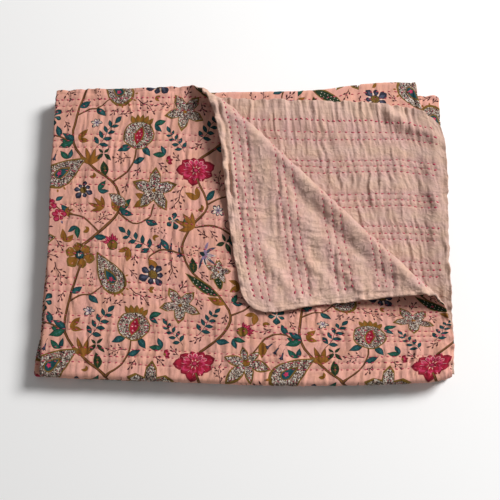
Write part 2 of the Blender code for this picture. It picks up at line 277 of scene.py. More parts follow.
def turn_back(x, y, s):
    """Roll what lies past the crease over to the left: the new place, and how far it rises."""
    along = (x - y) * DIAGONAL
    radius = curve(along, ROLL, "radius")
    start = curve(along, ROLL, "crease") - radius
    past = (x + y) * DIAGONAL - start

    angle = np.clip(past / radius, 0, math.pi + DESCENT)
    slope = (radius * (1 + math.cos(DESCENT)) - FLAP_REST) / DESCENT
    beyond = np.maximum(past - radius * (math.pi + DESCENT), 0)
    fall = 1 - np.exp(-beyond / slope)
    fall_twice = 1 - np.exp(-2 * beyond / slope)
    across = start + radius * np.sin(angle) - beyond + DESCENT**2 / 4 * slope * fall_twice
    rise = radius * (1 - np.cos(angle)) - DESCENT * slope * fall

    lift = smooth(beyond / HEM_LIFT_GROWTH) * smooth((HEM_LIFT_END - x) / HEM_LIFT_END)
    rise = rise + HEM_LIFT * np.exp(-s / HEM_LIFT_REACH) * lift

    turned = past > 0
    new_x = np.where(turned, (across + along) * DIAGONAL, x)
    new_y = np.where(turned, (across - along) * DIAGONAL, y)
    return new_x, new_y, np.where(turned, rise, 0), np.where(turned, past, 0)


def settle(x, y, z):
    """The droop of the right margin, and a slight swell of all but the flat underside."""
    inner_end = np.interp(y, *zip(*MARGIN))
    droop = DROOP * smooth((x - inner_end) / DROOP_REACH) * smooth((y - DROOP_FRONT) / DROOP_GROWTH)
    fallen = z - droop * smooth((z - DROOP_FROM) / (DROOP_TO - DROOP_FROM))
    crossed = [np.sin(wave.across * x + wave.along * y + wave.start) for wave in WAVES]
    uneven = crossed[0] * crossed[1] - SINK * smooth((SINK_START - x) / SINK_REACH)
    return fallen + SWELL * uneven * (fallen - HIDDEN_THICKNESS / 2)


# ---- Finer form of the cloth: soft folds placed one by one, puckers and quilting ----

# Soft ridges (height above zero) and troughs of each layer, from end to end, in the CAD's frame
Wrinkle = namedtuple("Wrinkle", "x0 y0 x1 y1 width height")
WRINKLES = {
    "flap": (
        Wrinkle(0.018, 0.104, 0.150, -0.056, 0.0090, -0.0034),
        Wrinkle(0.002, 0.092, 0.132, -0.072, 0.0110, 0.0026),
        Wrinkle(-0.004, 0.060, 0.070, -0.078, 0.0100, -0.0014),
        Wrinkle(0.090, 0.030, 0.176, -0.066, 0.0060, 0.0010),
        Wrinkle(0.128, -0.026, 0.196, -0.086, 0.0070, -0.0012),
        Wrinkle(0.010, -0.020, 0.070, -0.104, 0.0070, 0.0016),
        Wrinkle(0.062, -0.030, 0.116, -0.096, 0.0060, 0.0015),
        Wrinkle(0.096, -0.044, 0.150, -0.092, 0.0050, 0.0011),
        Wrinkle(0.040, -0.050, 0.052, -0.104, 0.0050, 0.0012),
    ),
    "lower": (
        Wrinkle(0.162, 0.167, 0.262, 0.110, 0.0080, 0.0042),
        Wrinkle(0.150, 0.158, 0.224, 0.108, 0.0110, -0.0016),
        Wrinkle(0.192, 0.120, 0.200, -0.012, 0.0080, 0.0018),
        Wrinkle(0.218, 0.118, 0.214, -0.040, 0.0060, -0.0008),
        Wrinkle(0.236, 0.110, 0.232, -0.060, 0.0060, 0.0020),
        Wrinkle(0.224, 0.064, 0.246, 0.010, 0.0050, 0.0012),
        Wrinkle(0.062, 0.156, 0.100, 0.118, 0.0080, 0.0012),
        Wrinkle(0.088, 0.158, 0.126, 0.096, 0.0070, 0.0014),
        Wrinkle(0.110, 0.080, 0.180, 0.062, 0.0120, 0.0014),
        Wrinkle(0.150, 0.040, 0.208, 0.016, 0.0090, 0.0012),
    ),
    "upper": (
        Wrinkle(-0.050, 0.150, -0.062, -0.020, 0.0150, -0.0006),
        Wrinkle(-0.120, 0.170, -0.112, 0.060, 0.0110, 0.0007),
        Wrinkle(-0.150, 0.020, -0.140, -0.120, 0.0120, 0.0007),
        Wrinkle(-0.195, 0.120, -0.205, -0.060, 0.0160, 0.0009),
        Wrinkle(-0.030, -0.090, -0.022, -0.180, 0.0090, 0.0010),
        Wrinkle(0.034, -0.118, 0.044, -0.190, 0.0070, 0.0011),
        Wrinkle(0.120, -0.112, 0.128, -0.190, 0.0080, 0.0012),
        Wrinkle(0.170, -0.118, 0.164, -0.190, 0.0070, 0.0010),
        Wrinkle(0.205, -0.112, 0.198, -0.190, 0.0060, 0.0016),
        Wrinkle(0.224, -0.116, 0.219, -0.188, 0.0060, -0.0007),
        Wrinkle(0.238, -0.120, 0.234, -0.180, 0.0050, 0.0010),
    ),
}
UPPER_BROAD = 0.00055
LOWER_BROAD = 0.00075
FLAP_BROAD, FLAP_SLANT, FLAP_STREAKS = 0.00080, 0.00100, 0.00074


def ridge(x, y, wrinkle):
    """Height of one wrinkle, which fades out towards its ends."""
    run_x, run_y = wrinkle.x1 - wrinkle.x0, wrinkle.y1 - wrinkle.y0
    length = math.hypot(run_x, run_y)
    along = ((x - wrinkle.x0) * run_x + (y - wrinkle.y0) * run_y) / length**2
    aside = ((x - wrinkle.x0) * run_y - (y - wrinkle.y0) * run_x) / length
    aside = aside + 0.35 * wrinkle.width * np.sin(9 * along + 40 * wrinkle.x0)
    fade = smooth(along / 0.35 + 0.15) * smooth((1 - along) / 0.35 + 0.15)
    return wrinkle.height * fade * np.exp(-((aside / wrinkle.width) ** 2))


def soft_height(x, y, panel, t, past):
    """How far the cloth's surface rises, in metres, over the plain fold."""
    upper = (panel == 0) & (t > EDGE)
    lower = (panel == 0) & (t < -EDGE)
    across, along = (x + y) * DIAGONAL, (x - y) * DIAGONAL
    under_flap = smooth((x + 0.040) / 0.02) * smooth((y + 0.115) / 0.02)
    masks = {
        "flap": np.where(upper, smooth((past - 0.020) / 0.030), 0),
        "lower": np.where(lower, smooth((across - CREASE + 0.008) / 0.03), 0),
        "upper": np.where(upper & (past <= 0), 1 - 0.9 * under_flap, 0),
    }
    height = np.zeros_like(x)
    for layer, wrinkles in WRINKLES.items():
        for wrinkle in wrinkles:
            height = height + masks[layer] * ridge(x, y, wrinkle)

    broad = noise(x / 0.045, y / 0.055, 3) + 0.6 * noise(x / 0.022 + 5, y / 0.034, 4)
    slanting = noise(across / 0.016, along / 0.050, 5) + 0.5 * noise(across / 0.009, along / 0.03, 6)
    streaks = noise(x / 0.0046 + 0.5 * slanting, y / 0.034, 7)
    height = height + masks["upper"] * UPPER_BROAD * broad
    height = height + masks["lower"] * LOWER_BROAD * (broad + 0.8)
    flap = FLAP_BROAD * broad + FLAP_SLANT * slanting + FLAP_STREAKS * streaks
    return height + masks["flap"] * flap


def fold(s, t):
    """The middle of the cloth's thickness, in space, at the places (s, t)."""
    x, y, panel, turn, half_turn = lay_flat(s, t)
    offset = HALF_PITCH * np.cos(half_turn)
    facing = np.where(panel % 2 == 0, 1, -1)
    radius = PITCH + facing * offset
    z = HEIGHTS[panel] + facing * offset
    bent = turn > 0
    y = np.where(bent, y - facing * radius * np.sin(turn), y)
    z = np.where(bent, HEIGHTS[panel] - PITCH + radius * np.cos(turn), z)

    upper = (panel == 0) & ~bent & (t > EDGE)
    turned_x, turned_y, rise, past = turn_back(x, y, s)
    past = np.where(upper, past, 0)
    x = np.where(upper, turned_x, x)
    y = np.where(upper, turned_y, y)
    z = settle(x, y, z + np.where(upper, rise, 0))
    level = ~bent & (np.abs(t) > EDGE)
    z = z + np.where(level, soft_height(x, y, panel, t, past), 0) * smooth((np.abs(t) - EDGE) / 0.02)
    return np.stack([x - CENTRE[0], y - CENTRE[1], z], axis=-1)


def from_hem(s, t):
    """Distance from the cloth's edge, whose corners are rounded."""
    radius = np.where(s < QUILT_LENGTH / 2, CORNER_RADIUS, LAST_CORNER_RADIUS)
    over_s = np.abs(s - QUILT_LENGTH / 2) - (QUILT_LENGTH / 2 - radius)
    over_t = np.abs(t) - (HALF_WIDTH - radius)
    outside = np.hypot(np.maximum(over_s, 0), np.maximum(over_t, 0))
    return radius - outside - np.minimum(np.maximum(over_s, over_t), 0)


def row_place(row, t):
    """Where a stitch row runs at t: rows sewn by hand wander a little."""
    return ROWS[row] + ROW_WANDER * noise(t / 0.045, row * 3.7, 11)


def row_step(row):
    return mix(SHORTEST_STEP, LONGEST_STEP, scatter(np.asarray(row), np.asarray(row) * 0, 24))


def stitch_end(row, number):
    """Where along its row a needle hole lies: stitches are uneven."""
    row, number = np.asarray(row), np.asarray(number)
    uneven = 0.34 * (scatter(row, number, 21) - 0.5)
    return (number + uneven + 0.5 * scatter(row, row * 0, 22)) * row_step(row)


def row_gap(s, t):
    """Distance to the nearest stitch row, and to the nearest needle hole along it."""
    near = np.clip(np.searchsorted(ROWS, s), 1, len(ROWS) - 1)
    before, after = np.abs(s - row_place(near - 1, t)), np.abs(s - row_place(near, t))
    row = np.where(before < after, near - 1, near)
    number = np.round(t / row_step(row))
    holes = [np.abs(t - stitch_end(row, number + step)) for step in (-1, 0, 1)]
    return np.minimum(before, after), np.min(holes, axis=0)


def gathers(s, t):
    """Fine folds, about -1 to 1, that the stitching draws up across the rows."""
    bent = 0.0034 * noise(s / 0.022, t / 0.050, 31) + 0.0013 * noise(s / 0.009, t / 0.012, 32)
    bent = bent + np.where(t < 0, 0.15 * s, 0)
    wide = noise((t + bent) / 0.0045, s / 0.032, 33)
    return wide + 0.42 * noise((t + 0.7 * bent) / 0.0026, s / 0.018, 34)


# Along the turned-back end hem lies a soft fold: its lines from the hem inward, and its stretch
HemFold = namedtuple("HemFold", "place width height")
HEM_FOLD = (
    HemFold(0.0042, 0.0022, 0.0008),
    HemFold(0.0086, 0.0019, -0.0016),
    HemFold(0.0130, 0.0030, 0.0011),
)
HEM_FOLD_START, HEM_FOLD_END, HEM_FOLD_FADE = 0.205, 0.375, 0.030
TURNED_FROM = 0.216

# Heights of the finer forms
NEEDLE_DENT = 0.00026
BETWEEN_ROWS = 0.00018
SEAM_DENT = 0.00034
HEM_RISE = 0.00010
GATHERS_TOP, GATHERS_TURNED, GATHERS_LOWER, GATHERS_REST = 0.00106, 0.00054, 0.00104, 0.00066
GATHERS_BY_HEM = 0.00050
RUFFLE = 0.00230
CRUMPLE, FINE_CRUMPLE = 0.00060, 0.00030
ROUND_EDGE = 0.0013


def relief(s, t):
    """Half thickness of the printed side and of the plain side, and how far both shift."""
    gap, hole = row_gap(s, t)
    hem = from_hem(s, t)
    panel, _, turn = find_panel(s)
    seen = (panel == 0) & (turn == 0)
    under = (panel == 0) & (t < 0)
    puff = np.where(seen, PUFF_THICKNESS, HIDDEN_THICKNESS) / 2
    row_depth = np.where(seen, 1.0, 0.5) * smooth((hem - 0.009) / 0.006)
    half = mix(puff, ROW_THICKNESS / 2, row_depth * (1 - np.sqrt(smooth(gap / (ROW_SPACING / 2)))))
    half = half - NEEDLE_DENT * row_depth * np.exp(-((gap / 0.0014) ** 2) - (hole / 0.0011) ** 2)
    half = half + BETWEEN_ROWS * row_depth * smooth((gap - 0.005) / 0.008)

    band = HEM_BAND + 0.0009 * noise((s + t) / 0.026, s * 0, 36)
    seam = np.exp(-(((hem - band) / 0.0011) ** 2))
    sewn = SEAM_DENT * (1 + 0.7 * noise((s - t) / 0.009, s * 0 + 2, 39))
    half = half - sewn * seam + HEM_RISE * smooth((band - hem) / 0.002)
    edge = np.clip(1 - hem / ROUND_EDGE, 0, 1)
    round_edge = np.sqrt(np.maximum(1 - edge**2, 0))

    bend = np.where(turn > 0, 0.60, 1.0) * mix(0.50, 1.0, smooth((np.abs(t) - 0.006) / 0.02))
    up = np.where(t > 0, 1.0, -1.0)
    top = mix(GATHERS_TOP, GATHERS_TURNED, smooth((t - s - TURNED_FROM) / 0.03))
    wavy = np.where(panel == 0, np.where(t > 0, top, GATHERS_LOWER), GATHERS_REST)
    border = np.where(under, GATHERS_BY_HEM * smooth((0.024 - s) / 0.010), 0)
    folds = gathers(s, t)
    shift = bend * up * (wavy + border) * (folds + np.where(under, 0.35, 0.0))
    shift = shift + RUFFLE * noise(s / 0.008 + 7, t / 0.008, 35) * np.exp(-((hem / 0.007) ** 2))

    start, end = (t - HEM_FOLD_START) / HEM_FOLD_FADE, (HEM_FOLD_END - t) / HEM_FOLD_FADE
    stretch = smooth(start) * smooth(end) * (0.75 + 0.60 * noise(t / 0.011, t * 0, 40))
    wander = 0.0016 * noise(t / 0.014, t * 0 + 4, 44)
    for line in HEM_FOLD:
        aside = (s - line.place - wander) / line.width
        shift = shift - stretch * line.height * np.exp(-(aside**2))

    broad = 1 - np.abs(noise(s / 0.0075 + 0.5 * folds, t / 0.0066, 37))
    fine = 1 - np.abs(noise(s / 0.0036, t / 0.0040 + 0.5 * folds, 38))
    creased = CRUMPLE * (broad**2 - 0.4) + FINE_CRUMPLE * (fine**2 - 0.4)
    creased = bend * np.where(seen, 1.0, 0.4) * creased
    return (half + 0.30 * creased) * round_edge, (half + creased) * round_edge, shift


SLOPE_STEP = 0.0002


def surface(s, t, printed):
    """Points and normals of the printed or the plain side of the cloth."""
    s_in = np.clip(s, SLOPE_STEP, QUILT_LENGTH - SLOPE_STEP)
    t_in = np.clip(t, SLOPE_STEP - HALF_WIDTH, HALF_WIDTH - SLOPE_STEP)

    def height(s_at, t_at):
        front, back, shift = relief(s_at, t_at)
        return shift + front if printed else shift - back

    def slopes(form):
        """How the form changes along the length and across."""
        ways = ((SLOPE_STEP, 0), (0, SLOPE_STEP))
        return [(form(s_in + a, t_in + b) - form(s_in - a, t_in - b)) / (2 * SLOPE_STEP) for a, b in ways]

    along, across = slopes(fold)
    normal = np.cross(along, across)
    normal /= np.linalg.norm(normal, axis=1)[:, None]
    rise_s, rise_t = slopes(height)
    points = fold(s, t) + normal * height(s, t)[:, None]
    points[:, 2] = np.maximum(points[:, 2], RESTING)
    tilt = (
        along * (rise_s / np.maximum((along**2).sum(1), 1e-9))[:, None]
        + across * (rise_t / np.maximum((across**2).sum(1), 1e-9))[:, None]
    )
    shaded = normal - tilt
    shaded /= np.linalg.norm(shaded, axis=1)[:, None]
    return points, shaded if printed else -shaded


# ---- Meshes ----


def spaced(stops):
    """Lines through (place, step) stops: each stretch is cut evenly, at about its step."""
    places = [stops[0][0]]
    for (start, step), (end, _) in zip(stops[:-1], stops[1:]):
        count = max(1, round((end - start) / step))
        places.extend(start + (end - start) * (i + 1) / count for i in range(count))
    return np.array(places)


def round_off(s, t):
    """Bring the corners of a square grid of places in to the rounded corners of the cloth."""
    radius = np.where(s < QUILT_LENGTH / 2, CORNER_RADIUS, LAST_CORNER_RADIUS)
    end = np.where(s < QUILT_LENGTH / 2, -1, 1)
    middle_s = QUILT_LENGTH / 2 + end * (QUILT_LENGTH / 2 - radius)
    a = np.clip(end * (s - middle_s) / radius, 0, 1)
    b = np.clip((np.abs(t) - (HALF_WIDTH - radius)) / radius, 0, 1)
    inside = (a > 0) & (b > 0)
    new_s = middle_s + end * radius * a * np.sqrt(1 - b * b / 2)
    new_t = np.sign(t) * (HALF_WIDTH - radius + radius * b * np.sqrt(1 - a * a / 2))
    return np.where(inside, new_s, s), np.where(inside, new_t, t)


def add_object(name, data):
    made = bpy.data.objects.new(name, data)
    bpy.context.scene.collection.objects.link(made)
    return made


def add_mesh(name, points, faces, material, normals=None):
    mesh = bpy.data.meshes.new(name)
    mesh.from_pydata(points, [], faces)
    mesh.materials.append(material)
    mesh.shade_smooth()
    if normals is not None:
        mesh.normals_split_custom_set_from_vertices(normals)
    piece = add_object(name, mesh)
    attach(piece, "root")
    return piece


def add_cloth_maps(piece, s, t):
    """One map in metres along the cloth for the materials, and one that fills a square."""
    mesh = piece.data
    corners = np.empty(len(mesh.loops), dtype=np.int32)
    mesh.loops.foreach_get("vertex_index", corners)
    ways = [t[corners], s[corners]]
    even = [(v - v.min()) / (v.max() - v.min()) * 0.996 + 0.002 for v in ways]
    for name, values in (("Cloth", ways), ("OFBake", even)):
        mesh.uv_layers.new(name=name).data.foreach_set("uv", np.stack(values, axis=1).ravel())
    return corners


def add_values(piece, name, values):
    """A number for each corner of the mesh, which the materials read."""
    made = piece.data.attributes.new(name, "FLOAT", "CORNER")
    made.data.foreach_set("value", values)


def declare_cloth(piece):
    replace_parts(piece, "quilt")


# ---- The print: a floral trail, charted in a repeat, in millimetres ----

REPEAT = (290, 255)
REPEAT_START = (-16.0, 236.0)

INKS = {
    "ground": (214, 156, 138),
    "wine": (66, 22, 28),
    "branch": (112, 72, 32),
    "bark": (70, 38, 20),
    "gold": (134, 84, 22),
    "olive": (112, 84, 28),
    "moss": (55, 57, 20),
    "teal": (10, 64, 68),
    "jade": (12, 74, 54),
    "sea": (42, 100, 98),
    "pine": (4, 38, 40),
    "forest": (15, 44, 21),
    "crimson": (122, 10, 34),
    "magenta": (150, 12, 44),
    "rose": (182, 46, 84),
    "blush": (214, 142, 144),
    "navy": (32, 34, 50),
    "slate": (68, 70, 89),
    "lilac": (129, 108, 133),
    "cream": (210, 191, 174),
    "speckle": (196, 186, 176),
}
INK_NAMES = list(INKS)


def linear(colour):
    """From display values, 0 to 255, to the linear values and the alpha that shaders take."""
    return [c / 255 / 12.92 if c <= 10 else ((c / 255 + 0.055) / 1.055) ** 2.4 for c in colour] + [1.0]


def almond(length, width, steps=7, bend=0.0, fullest=0.45):
    """A leaf or petal outline, from the origin upward; bend moves its tip sideways."""
    share = np.linspace(0, 1, steps + 1)
    half = width / 2 * np.sin(np.pi * share ** (math.log(0.5) / math.log(fullest)))
    spine = bend * length * share**2
    right = np.stack([spine + half, length * share], axis=1)
    left = np.stack([spine - half, length * share], axis=1)
    return np.concatenate([right, left[-2:0:-1]])


def lobed(radius, steps, lobes=0, depth=0.0, squash=1.0):
    """A round outline with even lobes."""
    angle = np.linspace(0, 2 * math.pi, steps, endpoint=False)
    reach = radius * (1 + depth * np.cos(lobes * angle))
    return np.stack([reach * np.cos(angle), squash * reach * np.sin(angle)], axis=1)


def star(points, outer, inner, turn, bulge):
    """A star outline with pointed arms, whose sides bulge by the given share."""
    angle = turn + np.arange(points * 4) * (2 * math.pi / (points * 4)) + math.pi / 2
    between = inner + (outer - inner) * (0.42 + bulge)
    reach = np.tile([outer, between, inner, between], points)
    return np.stack([reach * np.cos(angle), reach * np.sin(angle)], axis=1)


def boteh(length, width):
    """A paisley outline: a round end, whose other end narrows and curls over."""
    angle = np.linspace(-math.pi, math.pi, 24, endpoint=False)
    up = (1 - np.cos(angle)) / 2
    half = width / 2 * np.sin(angle) * (1 - up**1.6) ** 0.4 * (1.45 - 0.45 * up)
    curl = 0.75 * width * up**2.2
    return np.stack([half + curl, length * (up * (1.12 - 0.12 * up) - 0.25)], axis=1)


def smooth_line(points, steps_per_span=4):
    """A smooth line through the points."""
    points = np.asarray(points, dtype=float)
    spans = len(points) - 1
    at = np.linspace(0, spans, spans * steps_per_span + 1)
    padded = np.concatenate([[2 * points[0] - points[1]], points, [2 * points[-1] - points[-2]]])
    i = np.minimum(at.astype(int), spans - 1)
    f = (at - i)[:, None]
    a, b, c, d = padded[i], padded[i + 1], padded[i + 2], padded[i + 3]
    return 0.5 * (
        2 * b + (c - a) * f + (2 * a - 5 * b + 4 * c - d) * f**2 + (3 * b - a - 3 * c + d) * f**3
    )


def ribbon(points, start_width, end_width, steps_per_span=4):
    """A stem along a smooth line through the points."""
    line = smooth_line(points, steps_per_span)
    run = np.gradient(line, axis=0)
    run /= np.linalg.norm(run, axis=1)[:, None]
    side = np.stack([-run[:, 1], run[:, 0]], axis=1)
    half = np.linspace(start_width, end_width, len(line))[:, None] / 2
    return np.concatenate([line + side * half, (line - side * half)[::-1]])


def moved(shapes, x=0.0, y=0.0, turn=0.0, size=1.0):
    """Shapes set down at a place, turned by degrees, anticlockwise."""
    angle = math.radians(turn)
    spin = np.array([[math.cos(angle), math.sin(angle)], [-math.sin(angle), math.cos(angle)]])
    return [(ink, (outline * size) @ spin + (x, y)) for ink, outline in shapes]


def placed(shapes, rows):
    """Shapes set down once for each row of x, y and, if given, turn and size."""
    return [shape for row in rows for shape in moved(shapes, *row)]


def ring(shapes, count, radius, start, sweep, grow):
    """Shapes repeated round a centre, each pointing outward."""
    whole = []
    for i in range(count):
        turn = start + sweep * (i / count if sweep == 360 else i / max(count - 1, 1))
        size = 1 + grow * ((i * 7) % 5 - 2) / 2
        x, y = -radius * math.sin(math.radians(turn)), radius * math.cos(math.radians(turn))
        whole += moved(shapes, x, y, turn, size)
    return whole


def blades(*rows):
    """Almonds from the origin upward: each row is an ink and the almond's measures."""
    return [(ink, almond(*measures)) for ink, *measures in rows]


def rounds(*rows):
    """Rounds about the origin: each row is an ink and the round's measures."""
    return [(ink, lobed(*measures)) for ink, *measures in rows]


def whorl(count, radius, start, sweep, grow, *rows):
    return ring(blades(*rows), count, radius, start, sweep, grow)


def leaf(length, width, bend=0.12, ink="teal", rim="pine", vein="sea"):
    """A leaf with a rim, and with nicks beside its vein."""
    shapes = blades((rim, length, width, 7, bend))
    shapes += moved(blades((ink, length * 0.92, width * 0.80, 7, bend)), 0, length * 0.03)
    shapes += moved(blades((vein, length * 0.62, width * 0.09, 3, bend * 0.7)), 0, length * 0.12)
    nick = blades((vein, width * 0.28, width * 0.07, 2))
    for i, share in enumerate((0.30, 0.50)):
        for side in (-1, 1):
            shapes += moved(nick, bend * length * share**2, length * share, -side * (48 - 4 * i))
    return shapes


def big_leaf():
    """A long green leaf with a gold rim and light flecks."""
    shapes = blades(("olive", 50, 15, 10, 0.16, 0.42))
    shapes += moved(blades(("forest", 46, 11.4, 10, 0.16, 0.42)), 0, 1.6)
    for i in range(6):
        share = 0.2 + 0.1 * i
        for side in (-1, 1):
            fleck = moved(blades(("cream", 2.4, 0.9, 2)), side * 1.4, 0, -side * 42)
            shapes += moved(fleck, 0.16 * 50 * share**2, 50 * share)
    return shapes


def leaf_pair():
    return moved(leaf(18, 8.6, 0.14, "jade"), 0, 0, 34) + moved(leaf(16, 7.4, -0.14), 0, 0, -42)


def gold_pair():
    gold = ("gold", "olive", "branch")
    return moved(leaf(18, 8.4, 0.12, *gold), 0, 0, 30) + moved(leaf(15, 7.2, -0.14, *gold), 0, 0, -44)


def spray():
    """A twig with paired leaflets."""
    leaflet = blades(("pine", 13, 6.6, 5, 0.05, 0.5), ("teal", 11.8, 4.6, 5, 0.05, 0.5))
    shapes = [("wine", ribbon([(0, -22), (2, -6), (-1, 8), (2, 20)], 0.9, 0.6))]
    for i in range(4):
        for side in (-1, 1):
            shapes += moved(leaflet, 0.5, -15 + 9.5 * i, -side * (62 - 5 * i), 1 - 0.07 * i)
    return shapes + moved(leaflet, 2, 20, -6)


def sprig():
    """A fine dark twig with tiny buds."""
    branches = ((1, 5, -48, 8), (0.8, 10, 50, 9), (-0.6, 15, -42, 10), (-0.4, 19, 40, 7), (2, 26, -16, 4))
    shapes = [("wine", ribbon([(0, 0), (1.5, 9), (-1, 18), (2, 26)], 1.5, 1.1, 2))]
    for x, y, turn, length in branches:
        branch = blades(("wine", length, 1.4, 2, 0.06, 0.5))
        branch += moved(blades(("wine", 5.2, 2.7, 3, 0.1)), 0.06 * length, length - 0.5)
        branch += moved(blades(("wine", 4.2, 2.0, 3, 0.1)), 0.2, length * 0.5, 46)
        shapes += moved(branch, x, y, turn)
    return moved(shapes, 0, -14)


def twig():
    """A short dark fork of buds."""
    bud = blades(("wine", 3.6, 1.3, 2)) + moved(blades(("wine", 4.8, 2.5, 3, 0.1)), 0, 2.4)
    forks = [(y * 0.06, y, turn) for y, turn in ((3, 42), (6, -40), (9, 36), (12, -8))]
    return moved(blades(("wine", 13, 1.5, 3, 0.1, 0.5)) + placed(bud, forks), 0, -8)


def tendril():
    """A thin dark stem that curls over."""
    curl = [(0, 0), (3, 8), (1, 17), (-6, 22), (-12, 19), (-12, 13), (-8, 11)]
    shapes = [("wine", ribbon(curl, 1.5, 1.1, 2))]
    shapes += moved(blades(("wine", 10, 1.4, 3, 0.2, 0.5)), 2.4, 10, -58)
    return moved(shapes + moved(blades(("wine", 4.6, 2.6, 3)), 11, 16, -70), 3, -10)


def seeds():
    """A shower of tiny seeds."""
    shapes = []
    for i in range(15):
        x = 6 * math.sin(2.4 * i) * (0.45 + 0.03 * i)
        seed = rounds(("wine", 1.2, 5)) if i % 3 else blades(("wine", 4.8, 2.0, 2))
        shapes += moved(seed, x, 1.9 * i - 14, 30 - 8 * i)
    return shapes


def spark():
    """A small dark flower of thin strokes."""
    strokes = whorl(8, 2.6, 0, 360, 0.6, ("wine", 9.0, 1.5, 3, 0.1, 0.6))
    return strokes + whorl(4, 9.5, 30, 360, 0, ("wine", 2.4, 2.0, 3, 0.1, 0.5))


def grass():
    """A tuft of dark strokes."""
    shapes = []
    for turn, length in ((-56, 12), (-26, 16), (4, 19), (30, 15), (60, 11)):
        shapes += moved(blades(("wine", length, 1.3, 3, 0.1, 0.6)), 0, -6, turn)
    return shapes


def bud_pair():
    """Two tiny gold buds."""
    return placed(blades(("olive", 7, 4, 4), ("gold", 6, 2.4, 4)), ((0, 0, 24), (0, 0, -38, 0.85)))


def peony():
    """A full-blown flower: ruffled dark petals below, lighter ones above."""
    dark = ("crimson", 21, 15, 6, 0, 0.66), ("magenta", 18.5, 11, 6, 0.05, 0.7)
    shapes = whorl(9, 2.0, 12, 360, 0.16, *dark)
    shapes += whorl(12, 10, 0, 360, 0.3, ("blush", 8, 1.0, 2, 0.15))
    shapes += whorl(7, 3.5, 20, 360, 0.2, ("rose", 12, 8.6, 6, 0.1, 0.68), ("magenta", 9, 5.0, 5, 0.1, 0.6))
    shapes += whorl(5, 6, -58, 116, 0, ("blush", 11, 6.0, 5, 0.05, 0.7), ("rose", 10, 4.2, 5, 0.05, 0.7))
    shapes += rounds(("crimson", 4.2, 15, 5, 0.18), ("rose", 2.4, 10, 5, 0.2))
    return [(ink, outline * (1.0, 0.84)) for ink, outline in shapes]


def rosette():
    """A small magenta rose."""
    shapes = whorl(6, 1.0, 8, 360, 0.2, ("crimson", 10, 8.4, 5, 0.1, 0.66), ("rose", 8.6, 5.4, 5, 0.1, 0.7))
    shapes += whorl(5, 1.0, 40, 360, 0, ("magenta", 6.2, 4.2, 4, 0.2, 0.6))
    return shapes + rounds(("blush", 1.9, 8, 4, 0.2), ("crimson", 0.9, 6))


def rose_pair():
    shapes = moved(leaf(13, 6.5), -13, 1, 62) + moved(leaf(12, 6), 9, 8, -48)
    shapes += moved(ochre_fan(), -3, -8, 176, 0.55) + moved(rosette(), 0, 4)
    shapes += moved(ochre_fan(), 21, -8, -70, 0.6) + moved(rosette(), 14, -11, 30, 0.92)
    return shapes + moved(blades(("slate", 5, 3), ("lilac", 3.4, 1.8)), 18, -20, 200)


def magenta_bud():
    shapes = whorl(3, 0, -38, 76, 0, ("crimson", 10, 5.5, 5, 0.1, 0.6))
    shapes += whorl(2, 0, -16, 32, 0, ("rose", 7, 2.6, 4, 0.1, 0.6))
    return shapes + blades(("olive", 4.5, 4.0, 4))


def eyed_flower():
    """A gold flower of six petals with a dark rim and a teal eye."""
    petal = ("olive", 19, 14.5, 7, 0, 0.68), ("gold", 16.5, 10.4, 7, 0.04, 0.7)
    shapes = whorl(6, 0.5, 15, 360, 0.12, *petal)
    shapes += whorl(9, 6, 0, 360, 0.2, ("olive", 10, 1.3, 3, 0.08))
    shapes += rounds(("branch", 7.0, 24, 8, 0.12), ("pine", 5.6, 24, 8, 0.12))
    shapes += rounds(("teal", 4.4, 18, 6, 0.14), ("cream", 2.0, 9, 3, 0.25))
    return shapes + whorl(9, 13.5, 20, 360, 0, ("blush", 2.8, 1.0, 2))


def navy_flower():
    """A dark blue flower of seven notched petals with a gold middle."""
    shapes = whorl(7, 1.5, 10, 360, 0.2, ("navy", 15, 9.4, 6, 0, 0.7), ("slate", 12, 3.6, 4, 0.08, 0.7))
    shapes += whorl(7, 5.6, 35, 360, 0, ("cream", 4.4, 2.4, 3, 0, 0.6))
    shapes += rounds(("navy", 6.6, 21, 7, 0.14), ("olive", 5.4, 21, 7, 0.14))
    return shapes + whorl(7, 1.5, 5, 360, 0, ("moss", 3.2, 0.8, 2))


def blue_flower():
    """A small teal flower of five petals."""
    petal = ("pine", 11, 7.8, 6, 0.06, 0.66), ("teal", 9.6, 5.6, 6, 0.06, 0.68)
    shapes = whorl(5, 0.8, 22, 360, 0.24, *petal)
    shapes += whorl(5, 3.0, 22, 360, 0, ("sea", 6, 1.6, 3, 0.1))
    return shapes + rounds(("cream", 2.2, 10, 5, 0.25), ("slate", 1.0, 6))


def pale_flower():
    """A small lilac and white flower."""
    shapes = whorl(6, 0.5, 0, 360, 0.2, ("navy", 8, 5.2, 4, 0.1, 0.64), ("cream", 6.8, 3.2, 4))
    return shapes + whorl(6, 0.5, 28, 360, 0, ("lilac", 4.6, 2.0, 3)) + rounds(("slate", 1.5, 7))


def trumpets():
    """Three small trumpet flowers on thin stems."""
    right = [(1, 0), (1.5, 7), (4.2, 12.5), (1.6, 11.6)]
    left = [(-x, y) for x, y in right[::-1]]
    bell = left[-1:] + right + [(0, 13.6)] + left[:-1]
    light = [(-0.3, 2), (0.3, 2), (0.8, 9), (0, 11), (-0.8, 9)]
    stem = ribbon([(0, -7), (1, -3), (0, 1)], 0.8, 0.6, 2)
    trumpet = [("wine", stem), ("navy", np.array(bell)), ("slate", np.array(light))]
    return moved(placed(trumpet, ((-11, 3, 150), (0, 0, 172), (10, -5, 184))), 0, 8)


